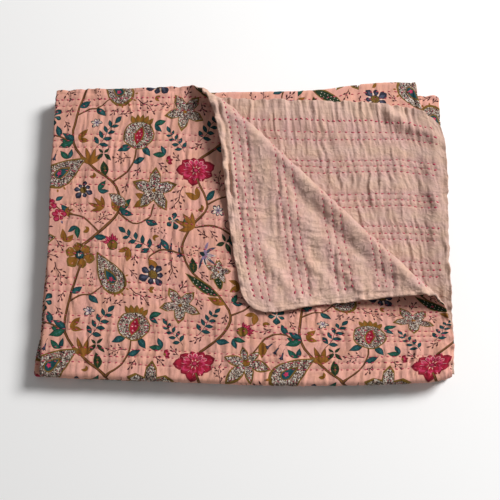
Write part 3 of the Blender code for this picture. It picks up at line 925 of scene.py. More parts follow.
def feathers():
    """A blossom of loose lilac, slate and cream strokes."""
    shapes = []
    inks = ("slate", "cream", "navy", "lilac", "slate", "cream", "lilac", "navy", "slate", "lilac")
    for i, ink in enumerate(inks):
        stroke = blades((ink, 23 - (i % 4) * 3.0, 3.9, 5, 0.16 * (-1) ** i, 0.62))
        shapes += moved(stroke, 0, 0, -74 + 16.5 * i)
    for i in range(6):
        shapes += moved(blades(("cream", 13 - i % 3, 1.5, 3, 0.1, 0.6)), 0, 3, -50 + 20 * i)
    shapes += whorl(5, 0, -60, 120, 0, ("lilac", 9, 3.2, 4, 0.1, 0.6))
    return shapes + moved(blades(("pine", 9, 6.5, 5)), 0, 4, 180)


def speckled(outline, rim):
    """A speckled shape with a rim, which is the same outline a little larger."""
    middle = outline.mean(axis=0)
    return [("olive", middle + (outline - middle) * rim), ("speckle", outline)]


def speckled_star():
    """A star flower of five broad speckled arms."""
    shapes = speckled(star(5, 24, 10.5, 0.1, 0.10), 1.15) + rounds(("gold", 2.6, 10, 5, 0.3))
    return shapes + whorl(5, 3, 6, 360, 0, ("wine", 7, 0.9, 3))


def speckled_lily():
    """A flower of six uneven speckled petals on a gold ground."""
    shapes = whorl(6, 0.5, 12, 360, 0.24, ("olive", 25, 12.5, 7, 0.12, 0.5))
    shapes += whorl(6, 0.5, 12, 360, 0.24, ("speckle", 22.5, 9.6, 7, 0.12, 0.5))
    return shapes + rounds(("olive", 4.4, 18, 6, 0.2), ("gold", 3.0, 12, 6, 0.2))


def speckled_leaf():
    shapes = speckled(almond(44, 22, 10, 0.14, 0.5), 1.12) + blades(("wine", 26, 1.0, 4, 0.1))
    return shapes + moved(blades(("olive", 9, 6, 4)), 0, -3)


def speckled_paisley():
    """A speckled paisley round a small teal and magenta one."""
    shapes = speckled(boteh(46, 27), 1.14)
    shapes += moved([("olive", boteh(21, 12)), ("teal", boteh(17, 9))], 1, 4)
    shapes += moved(rounds(("rose", 2.6, 10, 5, 0.25)), 0.8, 6)
    return shapes + whorl(5, 15, 118, 124, 0, ("gold", 4.6, 2.6, 3))


def pomegranate():
    """A speckled fruit, split over red seeds, with a small gold crown and two leaves."""
    shapes = moved(leaf(18, 8.5, 0.1), -6, -14, 128) + moved(leaf(16, 8), 7, -14, -124)
    shapes += whorl(5, 14, -30, 60, 0, ("olive", 13, 6.4, 5, 0, 0.5), ("gold", 11, 3.6, 4, 0, 0.5))
    shapes += speckled(lobed(17.5, 26, 5, 0.03, 0.95), 1.09)
    shapes.append(("olive", almond(25, 13, 8, 0.1, 0.5) - (0, 13)))
    shapes.append(("magenta", almond(22, 9.6, 8, 0.1, 0.5) - (0, 11.6)))
    return shapes + placed(rounds(("blush", 1.1, 5)), ((0, -6), (-1.6, -1), (2, 0), (0.4, 5)))


def thistle():
    """A round gold head under magenta strokes."""
    shapes = whorl(7, 3, -54, 108, 0.16, ("crimson", 13, 4.4, 4, 0, 0.6), ("rose", 12, 2.0, 3, 0, 0.7))
    shapes += rounds(("moss", 7.6, 20, 7, 0.06), ("olive", 6.6, 20, 7, 0.06))
    return shapes + placed(rounds(("gold", 1.3, 5)), ((0, 0), (3, 2), (-3, 2), (2, -3), (-2.4, -3)))


def ochre_fan():
    """A fan of narrow gold leaves."""
    shapes = []
    for turn, length in ((-52, 20), (-22, 23), (8, 26), (38, 21)):
        blade = blades(("branch", length, 6.6, 6, 0.1, 0.5), ("gold", length * 0.9, 4.4, 6, 0.1))
        shapes += moved(blade, 0, 0, turn, 0.9)
    return shapes


def berries():
    """Hanging gold buds on a thin stem."""
    bud = blades(("branch", 9.4, 5.6, 5), ("gold", 8.2, 3.8, 5))
    shapes = [("branch", ribbon([(0, 24), (2, 12), (-2, 0), (2, -14), (0, -24)], 1.1, 0.8, 3))]
    for i in range(7):
        side = -1 if i % 2 else 1
        shapes += moved(bud, side * 0.6, 20 - 7 * i, side * 118)
    return shapes


def teal_cross():
    """Four dark leaves round the top of a stem."""
    return ring(leaf(16, 6.5, 0.05, "forest", "pine", "moss"), 4, 1.0, 10, 360, 0.2)


# Stems, each along a smooth line, drawn before the flowers
Stem = namedtuple("Stem", "start_width end_width leaves points")
STEMS = (
    Stem(3.0, 2.6, 5, ((58, 14), (82, 36), (106, 64), (102, 98), (70, 124), (44, 156), (46, 196),
                       (60, 246))),
    Stem(2.8, 2.4, 5, ((204, 132), (236, 160), (248, 190), (232, 222), (204, 246), (190, 276),
                       (202, 306), (222, 332), (207, 366))),
    Stem(1.8, 1.4, 1, ((106, 64), (126, 50), (146, 58), (152, 76))),
    Stem(2.0, 1.5, 1, ((98, 104), (116, 118), (124, 134), (126, 150))),
    Stem(2.0, 1.4, 2, ((44, 156), (20, 168), (0, 160), (-14, 140))),
    Stem(1.8, 1.3, 1, ((46, 196), (62, 206), (74, 208), (88, 220))),
    Stem(1.8, 1.3, 1, ((82, 36), (62, 54), (36, 60), (20, 74))),
    Stem(2.0, 1.4, 1, ((248, 190), (268, 202), (280, 220), (282, 238))),
    Stem(1.8, 1.2, 2, ((192, 270), (166, 274), (148, 264), (150, 248))),
    Stem(1.8, 1.2, 1, ((201, 49), (232, 54), (258, 42), (272, 24))),
    Stem(1.6, 1.1, 1, ((222, 80), (246, 92), (264, 88), (272, 76))),
)
STEM_RIM = (0.7, 0.5)
STEM_LIT = 0.62
STEM_LIT_SHIFT = (-0.25, 0.3)

# Motifs of one repeat: each one's places, as x, y, its turn in degrees and its size
CHART = (
    (leaf_pair, (108, 66, -70, 1.2), (44, 160, 88, 1.2)),
    (big_leaf, (236, 218, 66, 1.0), (238, 226, 14, 0.85)),
    (ochre_fan, (70, 126, 20, 1.15), (206, 304, 70, 1.15)),
    (gold_pair, (142, 82, 100, 1.1)),
    (spray, (84, 168, -30, 1.0), (134, 26, 62, 1.0), (178, 158, 40, 0.8)),
    (eyed_flower, (58, 4, 0, 1.0)),
    (peony, (205, 122, 0, 1.0)),
    (speckled_star, (152, 94, -8, 1.12), (186, 200, 24, 1.0)),
    (speckled_lily, (268, 126, 10, 1.12)),
    (pomegranate, (128, 168, -8, 1.08)),
    (speckled_paisley, (104, 226, 62, 1.05), (24, 108, -24, 1.08)),
    (speckled_leaf, (268, 16, -70, 1.05), (118, 74, 70, 0.6)),
    (speckled_star, (236, 252, 60, 0.62)),
    (navy_flower, (152, 240, 0, 1.0), (60, 92, 30, 0.75)),
    (feathers, (284, 234, 20, 1.0), (216, 18, -110, 0.9)),
    (rose_pair, (16, 68, 0, 0.95)),
    (blue_flower, (16, 196, 10, 1.0), (178, 56, 40, 0.85)),
    (pale_flower, (236, 74, 0, 1.0), (72, 186, 30, 0.9)),
    (thistle, (262, 168, -60, 0.9), (100, 20, 20, 0.9)),
    (berries, (276, 62, 0, 0.9)),
    (trumpets, (176, 20, 0, 1.0), (14, 142, -20, 0.8)),
    (magenta_bud, (14, 232, 30, 1.0), (166, 132, -70, 0.9)),
    (teal_cross, (246, 36, 16, 0.8), (84, 142, 40, 0.7)),
)

# Small motifs that fill what is left bare: how many places to try, and the motif's size
Filler = namedtuple("Filler", "draw tries size")
FILLERS = (
    Filler(ochre_fan, 12, 0.95),
    Filler(sprig, 60, 1.15),
    Filler(spray, 60, 0.9),
    Filler(gold_pair, 22, 1.0),
    Filler(sprig, 160, 0.95),
    Filler(leaf_pair, 80, 0.9),
    Filler(spark, 50, 1.0),
    Filler(tendril, 120, 0.9),
    Filler(sprig, 200, 0.75),
    Filler(seeds, 160, 0.8),
    Filler(twig, 160, 1.0),
    Filler(bud_pair, 20, 1.2),
    Filler(twig, 300, 0.9),
    Filler(grass, 200, 0.8),
)
CLEARANCE = 1.3
FILLER_TURNS = 6

# The face, rim and vein of the leaves along a stem, in turn
LEAF_INKS = (
    ("teal", "pine", "sea"),
    ("gold", "olive", "branch"),
    ("forest", "moss", "olive"),
    ("jade", "pine", "sea"),
)


def leaves_on(points, count):
    """Small leaves along a stem, on its two sides in turn."""
    line = smooth_line(points)
    shapes = []
    for i in range(count):
        k = int((i + 0.6) / count * (len(line) - 1))
        run = line[k] - line[k - 1]
        side = 1 if i % 2 else -1
        turn = math.degrees(math.atan2(-run[0], run[1])) + side * 52
        kind = leaf(17, 8.6, 0.14 * side, *LEAF_INKS[i % len(LEAF_INKS)])
        shapes += moved(kind, *line[k], turn, 1 + 0.12 * (i * 3 % 4))
    return shapes


def cells(shapes, spread):
    """The cells of the repeat, a millimetre each, that shapes cover; its sides join."""
    share = np.linspace(0, 1, 25)[:, None, None]
    over = [
        (outline * share + np.roll(outline[::-1], 1, axis=0) * (1 - share)).reshape(-1, 2)
        for _, outline in shapes
    ]
    around = np.array([(0, 0)] + [(math.cos(a), math.sin(a)) for a in range(7)]) * spread
    places = (np.concatenate(over)[:, None] + around[None]).reshape(-1, 2)
    return tuple(np.floor(places.T).astype(int) % np.array(REPEAT)[:, None])


def fill_gaps(shapes):
    """Small motifs wherever they fit between the shapes."""
    taken = np.zeros(REPEAT, dtype=bool)
    taken[cells(shapes, CLEARANCE)] = True
    added = []
    number = 0
    for filler in FILLERS:
        small = filler.draw()
        for number in range(number, number + filler.tries):
            x, y = number * 0.75487 % 1 * REPEAT[0], number * 0.56984 % 1 * REPEAT[1]
            if taken[int(x), int(y)]:
                continue
            for i in range(FILLER_TURNS):
                found = moved(small, x, y, (number * 83 + i * 360 / FILLER_TURNS) % 360, filler.size)
                if not taken[cells(found, 0)].any():
                    taken[cells(found, CLEARANCE)] = True
                    added += found
                    break
    return added


def draw_repeat():
    """Every shape of one repeat, in painting order, in millimetres."""
    shapes = []
    for stem in STEMS:
        points = np.asarray(stem.points, dtype=float)
        widths = (stem.start_width, stem.end_width)
        shapes.append(("bark", ribbon(points, *(w + rim for w, rim in zip(widths, STEM_RIM)))))
        shapes.append(("branch", ribbon(points + STEM_LIT_SHIFT, *(w * STEM_LIT for w in widths))))
        shapes += leaves_on(points, stem.leaves)
    for draw, *places in CHART:
        shapes += placed(draw(), places)
    return shapes + fill_gaps(shapes)


REPEAT_SHAPES = draw_repeat()
HAND_WANDER = 0.55
HAND_SPAN = 7.0


def print_shapes(s_low, s_high, t_low, t_high, shown):
    """The repeat's shapes over a stretch of cloth, as (ink, outline) in millimetres of (t, s)."""
    low, high = np.array((t_low, s_low)) / MM, np.array((t_high, s_high)) / MM
    first = np.floor((low - REPEAT_START) / REPEAT).astype(int) - 1
    last = np.floor((high - REPEAT_START) / REPEAT).astype(int) + 2
    found = []
    for column in range(first[0], last[0] + 1):
        for row in range(first[1], last[1] + 1):
            corner = np.array(REPEAT_START) + (column * REPEAT[0], row * REPEAT[1])
            for ink, outline in REPEAT_SHAPES:
                place = corner + outline * (1, -1)
                if (place.max(axis=0) < low).any() or (place.min(axis=0) > high).any():
                    continue
                if shown is not None and not shown(*(place.mean(axis=0)[::-1] * MM)):
                    continue
                u, v = place.T / HAND_SPAN
                wander = np.stack([noise(u, v, 51), noise(u + 9, v, 52)], axis=1)
                found.append((ink, place + HAND_WANDER * wander))
    return found


def turned_left(outline):
    """The outline, run anticlockwise."""
    x, y = outline[:, 0], outline[:, 1]
    area = (x * np.roll(y, -1) - np.roll(x, -1) * y).sum()
    return outline if area > 0 else outline[::-1]


def paint(shapes, places):
    """The ink at each place, which is that of the last shape round it."""
    ink = np.full(len(places), INK_NAMES.index("ground"))
    order = np.argsort(places[:, 0])
    sorted_x = places[order, 0]
    for name, outline in shapes:
        low, high = outline.min(axis=0), outline.max(axis=0)
        near = order[np.searchsorted(sorted_x, low[0]) : np.searchsorted(sorted_x, high[0])]
        near = near[(places[near, 1] > low[1]) & (places[near, 1] < high[1])]
        start, end = outline[:, :, None], np.roll(outline, -1, axis=0)[:, :, None]
        x, y = places[near].T
        spans = (start[:, 1] > y) != (end[:, 1] > y)
        drop = end[:, 1] - start[:, 1]
        slope = (end[:, 0] - start[:, 0]) / np.where(end[:, 1] == start[:, 1], 1, drop)
        inside = (spans & (x < start[:, 0] + (y - start[:, 1]) * slope)).sum(axis=0) % 2 == 1
        ink[near[inside]] = INK_NAMES.index(name)
    return ink


THINNED = 4
CUT_TOLERANCE = 1e-3
# Painted light on the turned-back corner and painted shade on the right margin of the lower layer, as
# factors on the plain colour
FLAP_PAINTED_LIGHT = 1.19
MARGIN_PAINTED_SHADE = 0.82


def painted_light_and_shade(s, t):
    """Painted light and shade on the plain side, as a factor on its colour: the turned-back corner is
    painted lighter away from the crease, and the right margin of the lower layer is painted darker.
    """
    x, y, panel, *_ = lay_flat(s, t)
    past = (x + y) * DIAGONAL - CREASE
    top = mix(1.0, FLAP_PAINTED_LIGHT, smooth((past - 0.015) / 0.065))
    under = mix(1.0, MARGIN_PAINTED_SHADE, smooth((x - 0.205) / 0.030))
    return np.where(panel == 0, np.where(t > 0, top, under), 1.0)


def make_cloth(name, s_lines, t_lines, material, slot, fine, shown=None):
    """A stretch of one side of the cloth, on a grid of lines that is thinned out where not fine.

    On the printed side the mesh is also cut along the outlines of the print."""
    printed = slot == "printed_cotton"
    rows, columns = len(s_lines), len(t_lines)
    s, t = np.meshgrid(s_lines, t_lines, indexing="ij")
    s, t = round_off(s.ravel(), t.ravel())
    inner = np.ones((rows, columns), dtype=bool)
    inner[0, :] = inner[-1, :] = inner[:, 0] = inner[:, -1] = False
    sparse = (np.arange(rows)[:, None] % THINNED == 0) & (np.arange(columns)[None, :] % THINNED == 0)
    inner = inner.ravel() & (sparse.ravel() | fine(s, t))
    index = np.arange(rows * columns).reshape(rows, columns)
    border = np.concatenate([index[0, :-1], index[:-1, -1], index[-1, :0:-1], index[:0:-1, 0]])

    middle = np.array([t_lines[0] + t_lines[-1], s_lines[0] + s_lines[-1]]) / 2 / MM
    grid = np.stack([t, s], axis=1) / MM - middle
    outline = turned_left(grid[border])
    shapes = print_shapes(s_lines[0], s_lines[-1], t_lines[0], t_lines[-1], shown) if printed else []
    shapes = [(ink, shape - middle) for ink, shape in shapes]
    points = [outline, grid[inner]] + [shape for _, shape in shapes]
    counts = np.cumsum([0] + [len(block) for block in points]).tolist()
    edges = [
        (k, k + 1 if k + 1 < end else start)
        for start, end in zip(counts[2:-1], counts[3:])
        for k in range(start, end)
    ]
    vectors = [Vector(point) for point in np.concatenate(points).tolist()]
    whole = [list(range(len(outline)))]
    found, _, faces, *_, owners = delaunay_2d_cdt(vectors, edges, whole, 1, CUT_TOLERANCE, True)
    place = np.array([tuple(vector) for vector in found])
    triangles = np.array([face for face, owner in zip(faces, owners) if owner])
    ink = paint(shapes, place[triangles].mean(axis=1))
    used = np.unique(triangles)
    renumber = np.zeros(len(place), dtype=int)
    renumber[used] = np.arange(len(used))
    t, s = ((place + middle) * MM)[used].T
    triangles = renumber[triangles]

    corners, normals = surface(s, t, printed)
    if printed:
        triangles = triangles[:, ::-1]
    piece = add_mesh(name, corners, triangles.tolist(), material, normals)
    loops = add_cloth_maps(piece, s, t)
    if printed:
        palette = np.array([linear(INKS[ink_name]) for ink_name in INK_NAMES])
        colours = piece.data.attributes.new("print", "FLOAT_COLOR", "CORNER")
        colours.data.foreach_set("color", np.repeat(palette[ink], 3, axis=0).ravel())
        add_values(piece, "speckled", np.repeat(ink == INK_NAMES.index("speckle"), 3).astype(float))
    else:
        gap, _ = row_gap(s, t)
        near = np.exp(-((gap / ROW_SPACING) ** 2)) * smooth((from_hem(s, t) - 0.008) / 0.012)
        add_values(piece, "rosy", near[loops])
        # Painted light on the turned-back flap and painted shade on the right margin, read by the plain
        # material
        add_values(piece, "painted_light_shade", painted_light_and_shade(s, t)[loops])
    declare_cloth(piece)


# ---- Running stitch ----

THREAD_WIDTH = 0.00125
THREAD_HEIGHT = 0.00070
Ring = namedtuple("Ring", "place girth lift")
STITCH_RINGS = (
    Ring(-0.50, 0.35, -0.60),
    Ring(-0.30, 0.95, 0.25),
    Ring(0.00, 1.00, 0.60),
    Ring(0.30, 0.95, 0.25),
    Ring(0.50, 0.35, -0.60),
)
THREAD_SIDES = 5
KNOT_GIRTH = 0.7
STRETCH_PRINTED, STRETCH_PLAIN = 1.06, 1.02
LEAN = 0.0006


def make_stitches(name, rows, t_low, t_high, printed, material, shown):
    """Stitches on one side of the cloth: each is a short bent thread that dives at both ends."""
    found = []
    for row in rows:
        step = row_step(row)
        number = np.arange(math.ceil(t_low / step), math.floor(t_high / step))
        number = number[number % 2 == (0 if printed else 1)]
        start, end = stitch_end(row + 0 * number, number), stitch_end(row + 0 * number, number + 1)
        middle = (start + end) / 2
        place = row_place(row + 0 * number, middle)
        keep = shown(place, middle) & (from_hem(place, middle) > ROW_END_MARGIN)
        found.append(np.stack([place, middle, end - start, row + 0 * middle, number], axis=1)[keep])
    s, t, length, row, number = np.concatenate(found).T
    length = length * (STRETCH_PRINTED if printed else STRETCH_PLAIN)
    lean = LEAN * (2 * scatter(row, number, 41) - 1)
    knot = (from_hem(s, t) < ROW_END_MARGIN + 0.009) & (scatter(row, row * 0, 43) > 0.45)
    girth = 0.85 + 0.35 * scatter(row, number, 42) + KNOT_GIRTH * knot

    rings = []
    for ring_at in STITCH_RINGS:
        s_at, t_at = s + lean * ring_at.place * 2, t + length * ring_at.place
        points, normals = surface(s_at, t_at, printed)
        ahead, _ = surface(s_at, t_at + SLOPE_STEP, printed)
        run = ahead - points
        run /= np.linalg.norm(run, axis=1)[:, None]
        aside = np.cross(normals, run)
        middle = points + normals * (ring_at.lift * THREAD_HEIGHT)
        width = (ring_at.girth * girth * THREAD_WIDTH / 2)[:, None]
        height = (ring_at.girth * girth * THREAD_HEIGHT / 2)[:, None]
        for turn in np.arange(THREAD_SIDES) * 2 * math.pi / THREAD_SIDES:
            rings.append(middle + aside * math.cos(turn) * width + normals * math.sin(turn) * height)
    points = np.stack(rings, axis=1).reshape(-1, 3)
    points[:, 2] = np.maximum(points[:, 2], 0)
    faces = []
    for a in range(0, (len(STITCH_RINGS) - 1) * THREAD_SIDES, THREAD_SIDES):
        for j in range(THREAD_SIDES):
            k = (j + 1) % THREAD_SIDES
            faces.append((a + j, a + THREAD_SIDES + j, a + THREAD_SIDES + k, a + k))
    size = len(STITCH_RINGS) * THREAD_SIDES
    faces += [tuple(range(THREAD_SIDES)), tuple(range(size - 1, size - THREAD_SIDES - 1, -1))]
    whole = [tuple(v + i * size for v in face) for i in range(len(s)) for face in faces]
    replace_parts(add_mesh(name, points, whole, material), "quilt")


# ---- Materials ----


class Graph:
    """Short calls that add nodes to a material."""

    def __init__(self, name):
        self.material = bpy.data.materials.new(name)
        self.material.use_nodes = True
        self.tree = self.material.node_tree
        self.shader = self.tree.nodes["Principled BSDF"]

    def put(self, node, values):
        """Link or set a node's inputs, by name or number."""
        for key, value in values.items():
            if isinstance(value, bpy.types.NodeSocket):
                self.tree.links.new(value, node.inputs[key])
            else:
                node.inputs[key].default_value = value

    def node(self, kind, values, output=0, **settings):
        """The named output of a new node."""
        made = self.tree.nodes.new("ShaderNode" + kind)
        for key, value in settings.items():
            setattr(made, key, value)
        self.put(made, values)
        return made.outputs[output]

    def math(self, operation, first, second=0.0):
        return self.node("Math", {0: first, 1: second}, operation=operation)

    def blend(self, share, first, second, mode="MIX"):
        values = {"Factor": share, "A": first, "B": second}
        return self.node("Mix", values, "Result", data_type="RGBA", blend_type=mode)

    def attribute(self, name, output="Fac"):
        return self.node("Attribute", {}, output, attribute_name=name)

    def cloth_map(self, across=1.0, along=1.0):
        """The cloth's own place, in metres, times a scale for each way."""
        place = self.node("UVMap", {}, "UV", uv_map="Cloth")
        return self.node("VectorMath", {0: place, 1: (across, along, 1)}, operation="MULTIPLY")

    def noise(self, place, scale, detail=2.0, roughness=0.5, warp=0.0):
        values = {"Vector": place, "Scale": scale, "Detail": detail, "Roughness": roughness}
        return self.node("TexNoise", {**values, "Distortion": warp}, "Fac")

    def range(self, value, low, high, to_low=0.0, to_high=1.0):
        values = {"Value": value, "From Min": low, "From Max": high, "To Min": to_low, "To Max": to_high}
        return self.node("MapRange", values, "Result")

    def bump(self, height, strength, distance):
        values = {"Strength": strength, "Distance": distance, "Height": height}
        return self.node("Bump", values, "Normal")


def weave(graph):
    """Fine plain weave with slubs, as a height."""
    ways = ((1900.0, 90.0), (90.0, 1900.0))
    return graph.math("ADD", *(graph.noise(graph.cloth_map(*way), 1.0, 1.0) for way in ways))


def finish_cotton(graph, colour, shade, crumple, rough):
    """Shade, bump of the weave and of fine creases, and the soft sheen of washed cotton."""
    place = graph.cloth_map()
    cool = graph.range(graph.noise(place, 48.0), 0.35, 0.65, 0.95, 1.06)
    shades = {0: shade, 1: shade, 2: graph.math("MULTIPLY", shade, cool)}
    colour = graph.blend(1.0, colour, graph.node("CombineColor", shades, "Color"), "MULTIPLY")
    creases = graph.noise(place, 190.0, 3.0, 0.62, 0.9)
    folded = graph.math("ABSOLUTE", graph.math("SUBTRACT", creases, 0.5))
    grain = graph.math("MULTIPLY", weave(graph), 0.10)
    height = graph.math("ADD", graph.math("MULTIPLY", folded, -crumple), grain)
    graph.put(graph.shader, {
        "Normal": graph.bump(height, 0.75, 0.00075),
        "Base Color": colour,
        "Roughness": graph.range(graph.noise(place, 60.0), 0.3, 0.7, *rough),
        "Sheen Weight": 0.04,
        "Sheen Roughness": 0.5,
        "Sheen Tint": (1.0, 0.93, 0.88, 1),
        "Specular IOR Level": 0.25,
    })
    return graph.material


# Linear colours of the specks
SPECK_LIGHT = (0.62, 0.55, 0.46, 1)
SPECK_BROWN = (0.25, 0.16, 0.12, 1)
SPECK_DARK = (0.022, 0.013, 0.014, 1)
SPECK_RED = (0.30, 0.05, 0.07, 1)


def make_printed_cotton():
    graph = Graph("printed_cotton")
    place = graph.cloth_map()
    cell = graph.node("TexVoronoi", {"Vector": place, "Scale": 1000.0}, "Color", feature="F1")
    split = graph.node("SeparateColor", {"Color": cell}).node.outputs
    specks = graph.blend(graph.range(split[0], 0.40, 0.46), SPECK_LIGHT, SPECK_BROWN)
    specks = graph.blend(graph.range(split[1], 0.58, 0.62), specks, SPECK_DARK)
    specks = graph.blend(graph.range(split[2], 0.93, 0.95), specks, SPECK_RED)
    colour = graph.blend(graph.attribute("speckled"), graph.attribute("print", "Color"), specks)

    thin = graph.range(graph.noise(place, 1100.0, 2.0, 0.6), 0.56, 0.74, 0.0, 0.14)
    colour = graph.blend(thin, colour, linear(INKS["ground"]))
    worn = graph.range(graph.noise(graph.cloth_map(900.0, 160.0), 1.0, 2.0, 0.6), 0.3, 0.7, 0.93, 1.05)
    faded = graph.range(graph.noise(place, 11.0), 0.3, 0.7, 0.95, 1.04)
    return finish_cotton(graph, colour, graph.math("MULTIPLY", worn, faded), 1.3, (0.82, 0.95))


PLAIN_LIGHT = (198, 165, 148)
PLAIN_WARM = (197, 161, 145)
PLAIN_ROSY = (188, 146, 137)


def make_plain_cotton():
    graph = Graph("plain_cotton")
    place = graph.cloth_map()
    base = graph.range(graph.noise(place, 14.0, 3.0), 0.32, 0.68)
    base = graph.blend(base, linear(PLAIN_LIGHT), linear(PLAIN_WARM))
    patchy = graph.range(graph.noise(place, 120.0), 0.35, 0.65, 0.35, 0.85)
    rosy = graph.math("MULTIPLY", graph.attribute("rosy"), patchy)
    base = graph.blend(rosy, base, linear(PLAIN_ROSY))
    thread = graph.range(weave(graph), 0.7, 1.3, 0.90, 1.06)
    slub = graph.range(graph.noise(graph.cloth_map(60.0, 900.0), 1.0), 0.3, 0.75, 0.93, 1.05)
    # The plain colour is also scaled by the painted light and shade stored on the mesh
    shade = graph.math("MULTIPLY", graph.math("MULTIPLY", thread, slub), graph.attribute("painted_light_shade"))
    return finish_cotton(graph, base, shade, 2.0, (0.85, 0.97))


THREAD_DEEP = (164, 22, 55)
THREAD_BRIGHT = (190, 48, 82)


def make_thread():
    graph = Graph("stitch_thread")
    place = graph.node("TexCoord", {}, "Object")
    uneven = graph.range(graph.noise(place, 260.0), 0.35, 0.65)
    twist = graph.node("TexWave", {"Vector": place, "Scale": 700.0}, "Fac", bands_direction="DIAGONAL")
    graph.put(graph.shader, {
        "Normal": graph.bump(twist, 0.5, 0.0002),
        "Base Color": graph.blend(uneven, linear(THREAD_DEEP), linear(THREAD_BRIGHT)),
        "Roughness": 0.62,
        "Sheen Weight": 0.3,
    })
    return graph.material


# ---- The quilt's pieces ----

FIRST_BEND_END = PANEL + BEND
BACK_BEND = 2 * PANEL + BEND
LAST_PANEL_START = 3 * (PANEL + BEND)
FOLD_WRAP = 0.006

# Steps of the grid of lines: from a hem inward, and round the bends
HEM_LINES = ((0.0, 0.00012), (0.00024, 0.0003), (0.0012, 0.0009), (0.003, 0.0013), (0.009, 0.002))
HEM_STOP = HEM_LINES[-1][0]
BEND_STEP = 0.0013


def from_end(end):
    """Stops from a hem inward, to the place where the open cloth starts."""
    return [(end + place, step) for place, step in HEM_LINES[:-1]]


def to_end(end):
    """Stops outward to a hem."""
    places = [place for place, _ in HEM_LINES[::-1]]
    steps = [step for _, step in HEM_LINES[-2::-1]] + [0.0]
    return [(end - place, step) for place, step in zip(places, steps)]


def past_crease(s, t):
    """How far right of the crease a place of the top panel lies, before it is turned back."""
    x, y, *_ = lay_flat(s, t)
    return (x + y) * DIAGONAL - CREASE


def near_edge(s, t, reach):
    """Whether a place is near a hem, a bend or the left fold."""
    rest = s % (PANEL + BEND)
    bend = np.minimum(np.abs(rest - PANEL), np.minimum(rest, PANEL + BEND - rest))
    return (bend < reach) | (np.abs(t) < reach) | (HALF_WIDTH - np.abs(t) < reach)


def open_printed(s, t, reach=0.026):
    """Whether the top panel's printed side shows: not turned over, nor under what is."""
    x, y, *_ = lay_flat(s, t)
    past = (x + y) * DIAGONAL - CREASE
    covered = (x > 0.020) & (y > -0.072) & (past < -0.004)
    turned = (past > 0.034) & (from_hem(s, t) > reach)
    return ~(covered | turned)


def make_quilt():
    printed, plain, thread = make_printed_cotton(), make_plain_cotton(), make_thread()

    def add(name, s_stops, t_stops, fine, shown=None):
        is_plain = name.startswith("plain")
        material, slot = (plain, "plain_cotton") if is_plain else (printed, "printed_cotton")
        make_cloth(name, spaced(s_stops), spaced(t_stops), material, slot, fine, shown)

    def near_fold(s, t):
        return bool(near_edge(s, t, 0.030))

    def near(reach):
        return lambda s, t: near_edge(s, t, reach)

    def top_lines(step):
        bend = [(PANEL - 0.006, BEND_STEP), (FIRST_BEND_END, BEND_STEP)]
        return from_end(0.0) + [(HEM_STOP, step)] + bend

    def lower_lines(step, *stops):
        return from_end(-HALF_WIDTH) + [(HEM_STOP - HALF_WIDTH, step), *stops]

    wrap, edge = -FOLD_WRAP, HALF_WIDTH
    top_t = [(wrap, 0.0012), (EDGE + 0.001, 0.0019)] + to_end(edge)
    add("printed_top", top_lines(0.0022), top_t, open_printed,
        lambda s, t: open_printed(np.array(s), np.array(t)))
    under_t = lower_lines(0.0022, (-0.012, 0.0015), (wrap, 0.0015))
    add("printed_under_top", top_lines(0.0025), under_t, near(0.014), near_fold)

    both_t = lower_lines(0.0022, (-0.012, 0.0013), (0.012, 0.0022)) + to_end(edge)
    middle_s = [
        (FIRST_BEND_END, 0.0032),
        (BACK_BEND - 0.006, BEND_STEP),
        (BACK_BEND + BEND + 0.004, 0.0032),
        (LAST_PANEL_START - BEND - 0.006, BEND_STEP),
        (LAST_PANEL_START, BEND_STEP),
    ]
    add("printed_middle", middle_s, both_t, near(0.012), near_fold)
    last_s = [(LAST_PANEL_START, 0.0032)] + to_end(QUILT_LENGTH)
    add("printed_last", last_s, both_t, near(0.010), lambda s, t: t > 0 or near_fold(s, t))

    plain_s = from_end(0.0) + [(HEM_STOP, 0.0013), (0.330, 0.004), (FIRST_BEND_END, 0.004)]
    add("plain_turned_back", plain_s, [(0.0, 0.0013), (0.012, 0.0013)] + to_end(edge),
        lambda s, t: past_crease(s, t) > -0.008)
    add("plain_lower", plain_s, lower_lines(0.0013, (-0.010, 0.001), (0.0, 0.001)),
        lambda s, t: (past_crease(s, t) > -0.022) | (near_edge(s, t, 0.006) & (t > -0.01)))
    add("plain_inner", [(FIRST_BEND_END, 0.0045)] + to_end(QUILT_LENGTH), both_t, near(0.008))

    first_rows = [i for i, place in enumerate(ROWS) if place < PANEL]
    other_rows = [i for i, place in enumerate(ROWS) if place >= PANEL]

    def outside(s, t):
        last = (s > LAST_PANEL_START) & (t > 0)
        return (np.abs(t) < 0.016) | last | ((np.abs(s - BACK_BEND) < 0.06) & (t < 0))

    make_stitches("stitches_printed_top", first_rows, -0.02, edge, True, thread,
                  lambda s, t: (t > -0.016) & open_printed(s, t, 0.04))
    make_stitches("stitches_turned_back", first_rows, 0.0, edge, False, thread,
                  lambda s, t: past_crease(s, t) > -0.004)
    make_stitches("stitches_lower", first_rows, -edge, 0.0, False, thread,
                  lambda s, t: past_crease(s, t) > -0.04)
    make_stitches("stitches_outside", other_rows, -edge, edge, True, thread, outside)


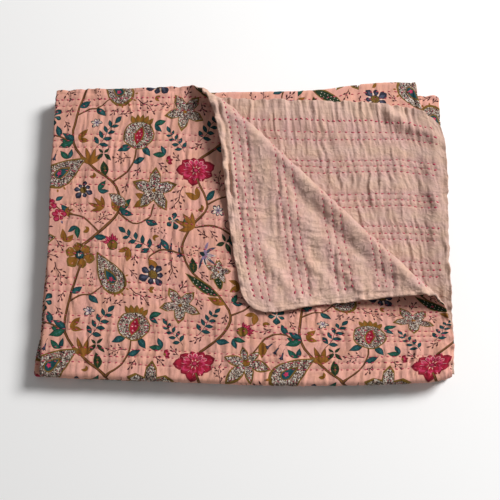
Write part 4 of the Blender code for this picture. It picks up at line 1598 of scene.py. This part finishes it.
# ---- Floor, light and camera ----

CAMERA_ELEVATION = 75.0
CAMERA_DISTANCE = 1.0
CAMERA_TARGET = (0.0033, -0.0335, 0.024)
PHOTO_FOCAL = 800.0
PHOTO_SIDE = 500.0
SENSOR = 36.0
KEY_PLACE = (2.37, 1.48, 2.10)
KEY_SIZE = 1.2
KEY_POWER = 160.0
SKY_COLOUR = (1.0, 0.99, 0.98, 1)
SKY_STRENGTH = 0.225
FLOOR_REACH = 4.0
FLOOR_COLOUR = (0.93, 0.925, 0.92, 1)


def make_stage():
    graph = Graph("floor")
    graph.put(graph.shader, {"Base Color": FLOOR_COLOUR, "Roughness": 0.9})
    mesh = bpy.data.meshes.new("floor")
    corners = [(x * FLOOR_REACH, y * FLOOR_REACH, 0) for x, y in ((-1, -1), (1, -1), (1, 1), (-1, 1))]
    mesh.from_pydata(corners, [], [(0, 1, 2, 3)])
    mesh.materials.append(graph.material)
    add_object("floor", mesh)

    world = bpy.data.worlds.new("studio")
    world.use_nodes = True
    sky = world.node_tree.nodes["Background"]
    sky.inputs["Color"].default_value = SKY_COLOUR
    sky.inputs["Strength"].default_value = SKY_STRENGTH
    bpy.context.scene.world = world

    lamp = bpy.data.lights.new("key", "AREA")
    lamp.size = KEY_SIZE
    lamp.energy = KEY_POWER
    light = add_object("key", lamp)
    light.location = KEY_PLACE
    light.rotation_euler = Vector(KEY_PLACE).to_track_quat("Z", "Y").to_euler()


def make_camera():
    elevation = math.radians(CAMERA_ELEVATION)
    back = Vector((0, -math.cos(elevation), math.sin(elevation)))
    lens = bpy.data.cameras.new("camera")
    lens.sensor_width = SENSOR
    lens.lens = SENSOR * PHOTO_FOCAL / PHOTO_SIDE
    camera = add_object("camera", lens)
    camera.location = Vector(CAMERA_TARGET) + back * CAMERA_DISTANCE
    camera.rotation_euler = back.to_track_quat("Z", "Y").to_euler()
    bpy.context.scene.camera = camera
    bpy.context.scene.view_settings.view_transform = "Standard"


make_camera()
make_stage()
make_quilt()
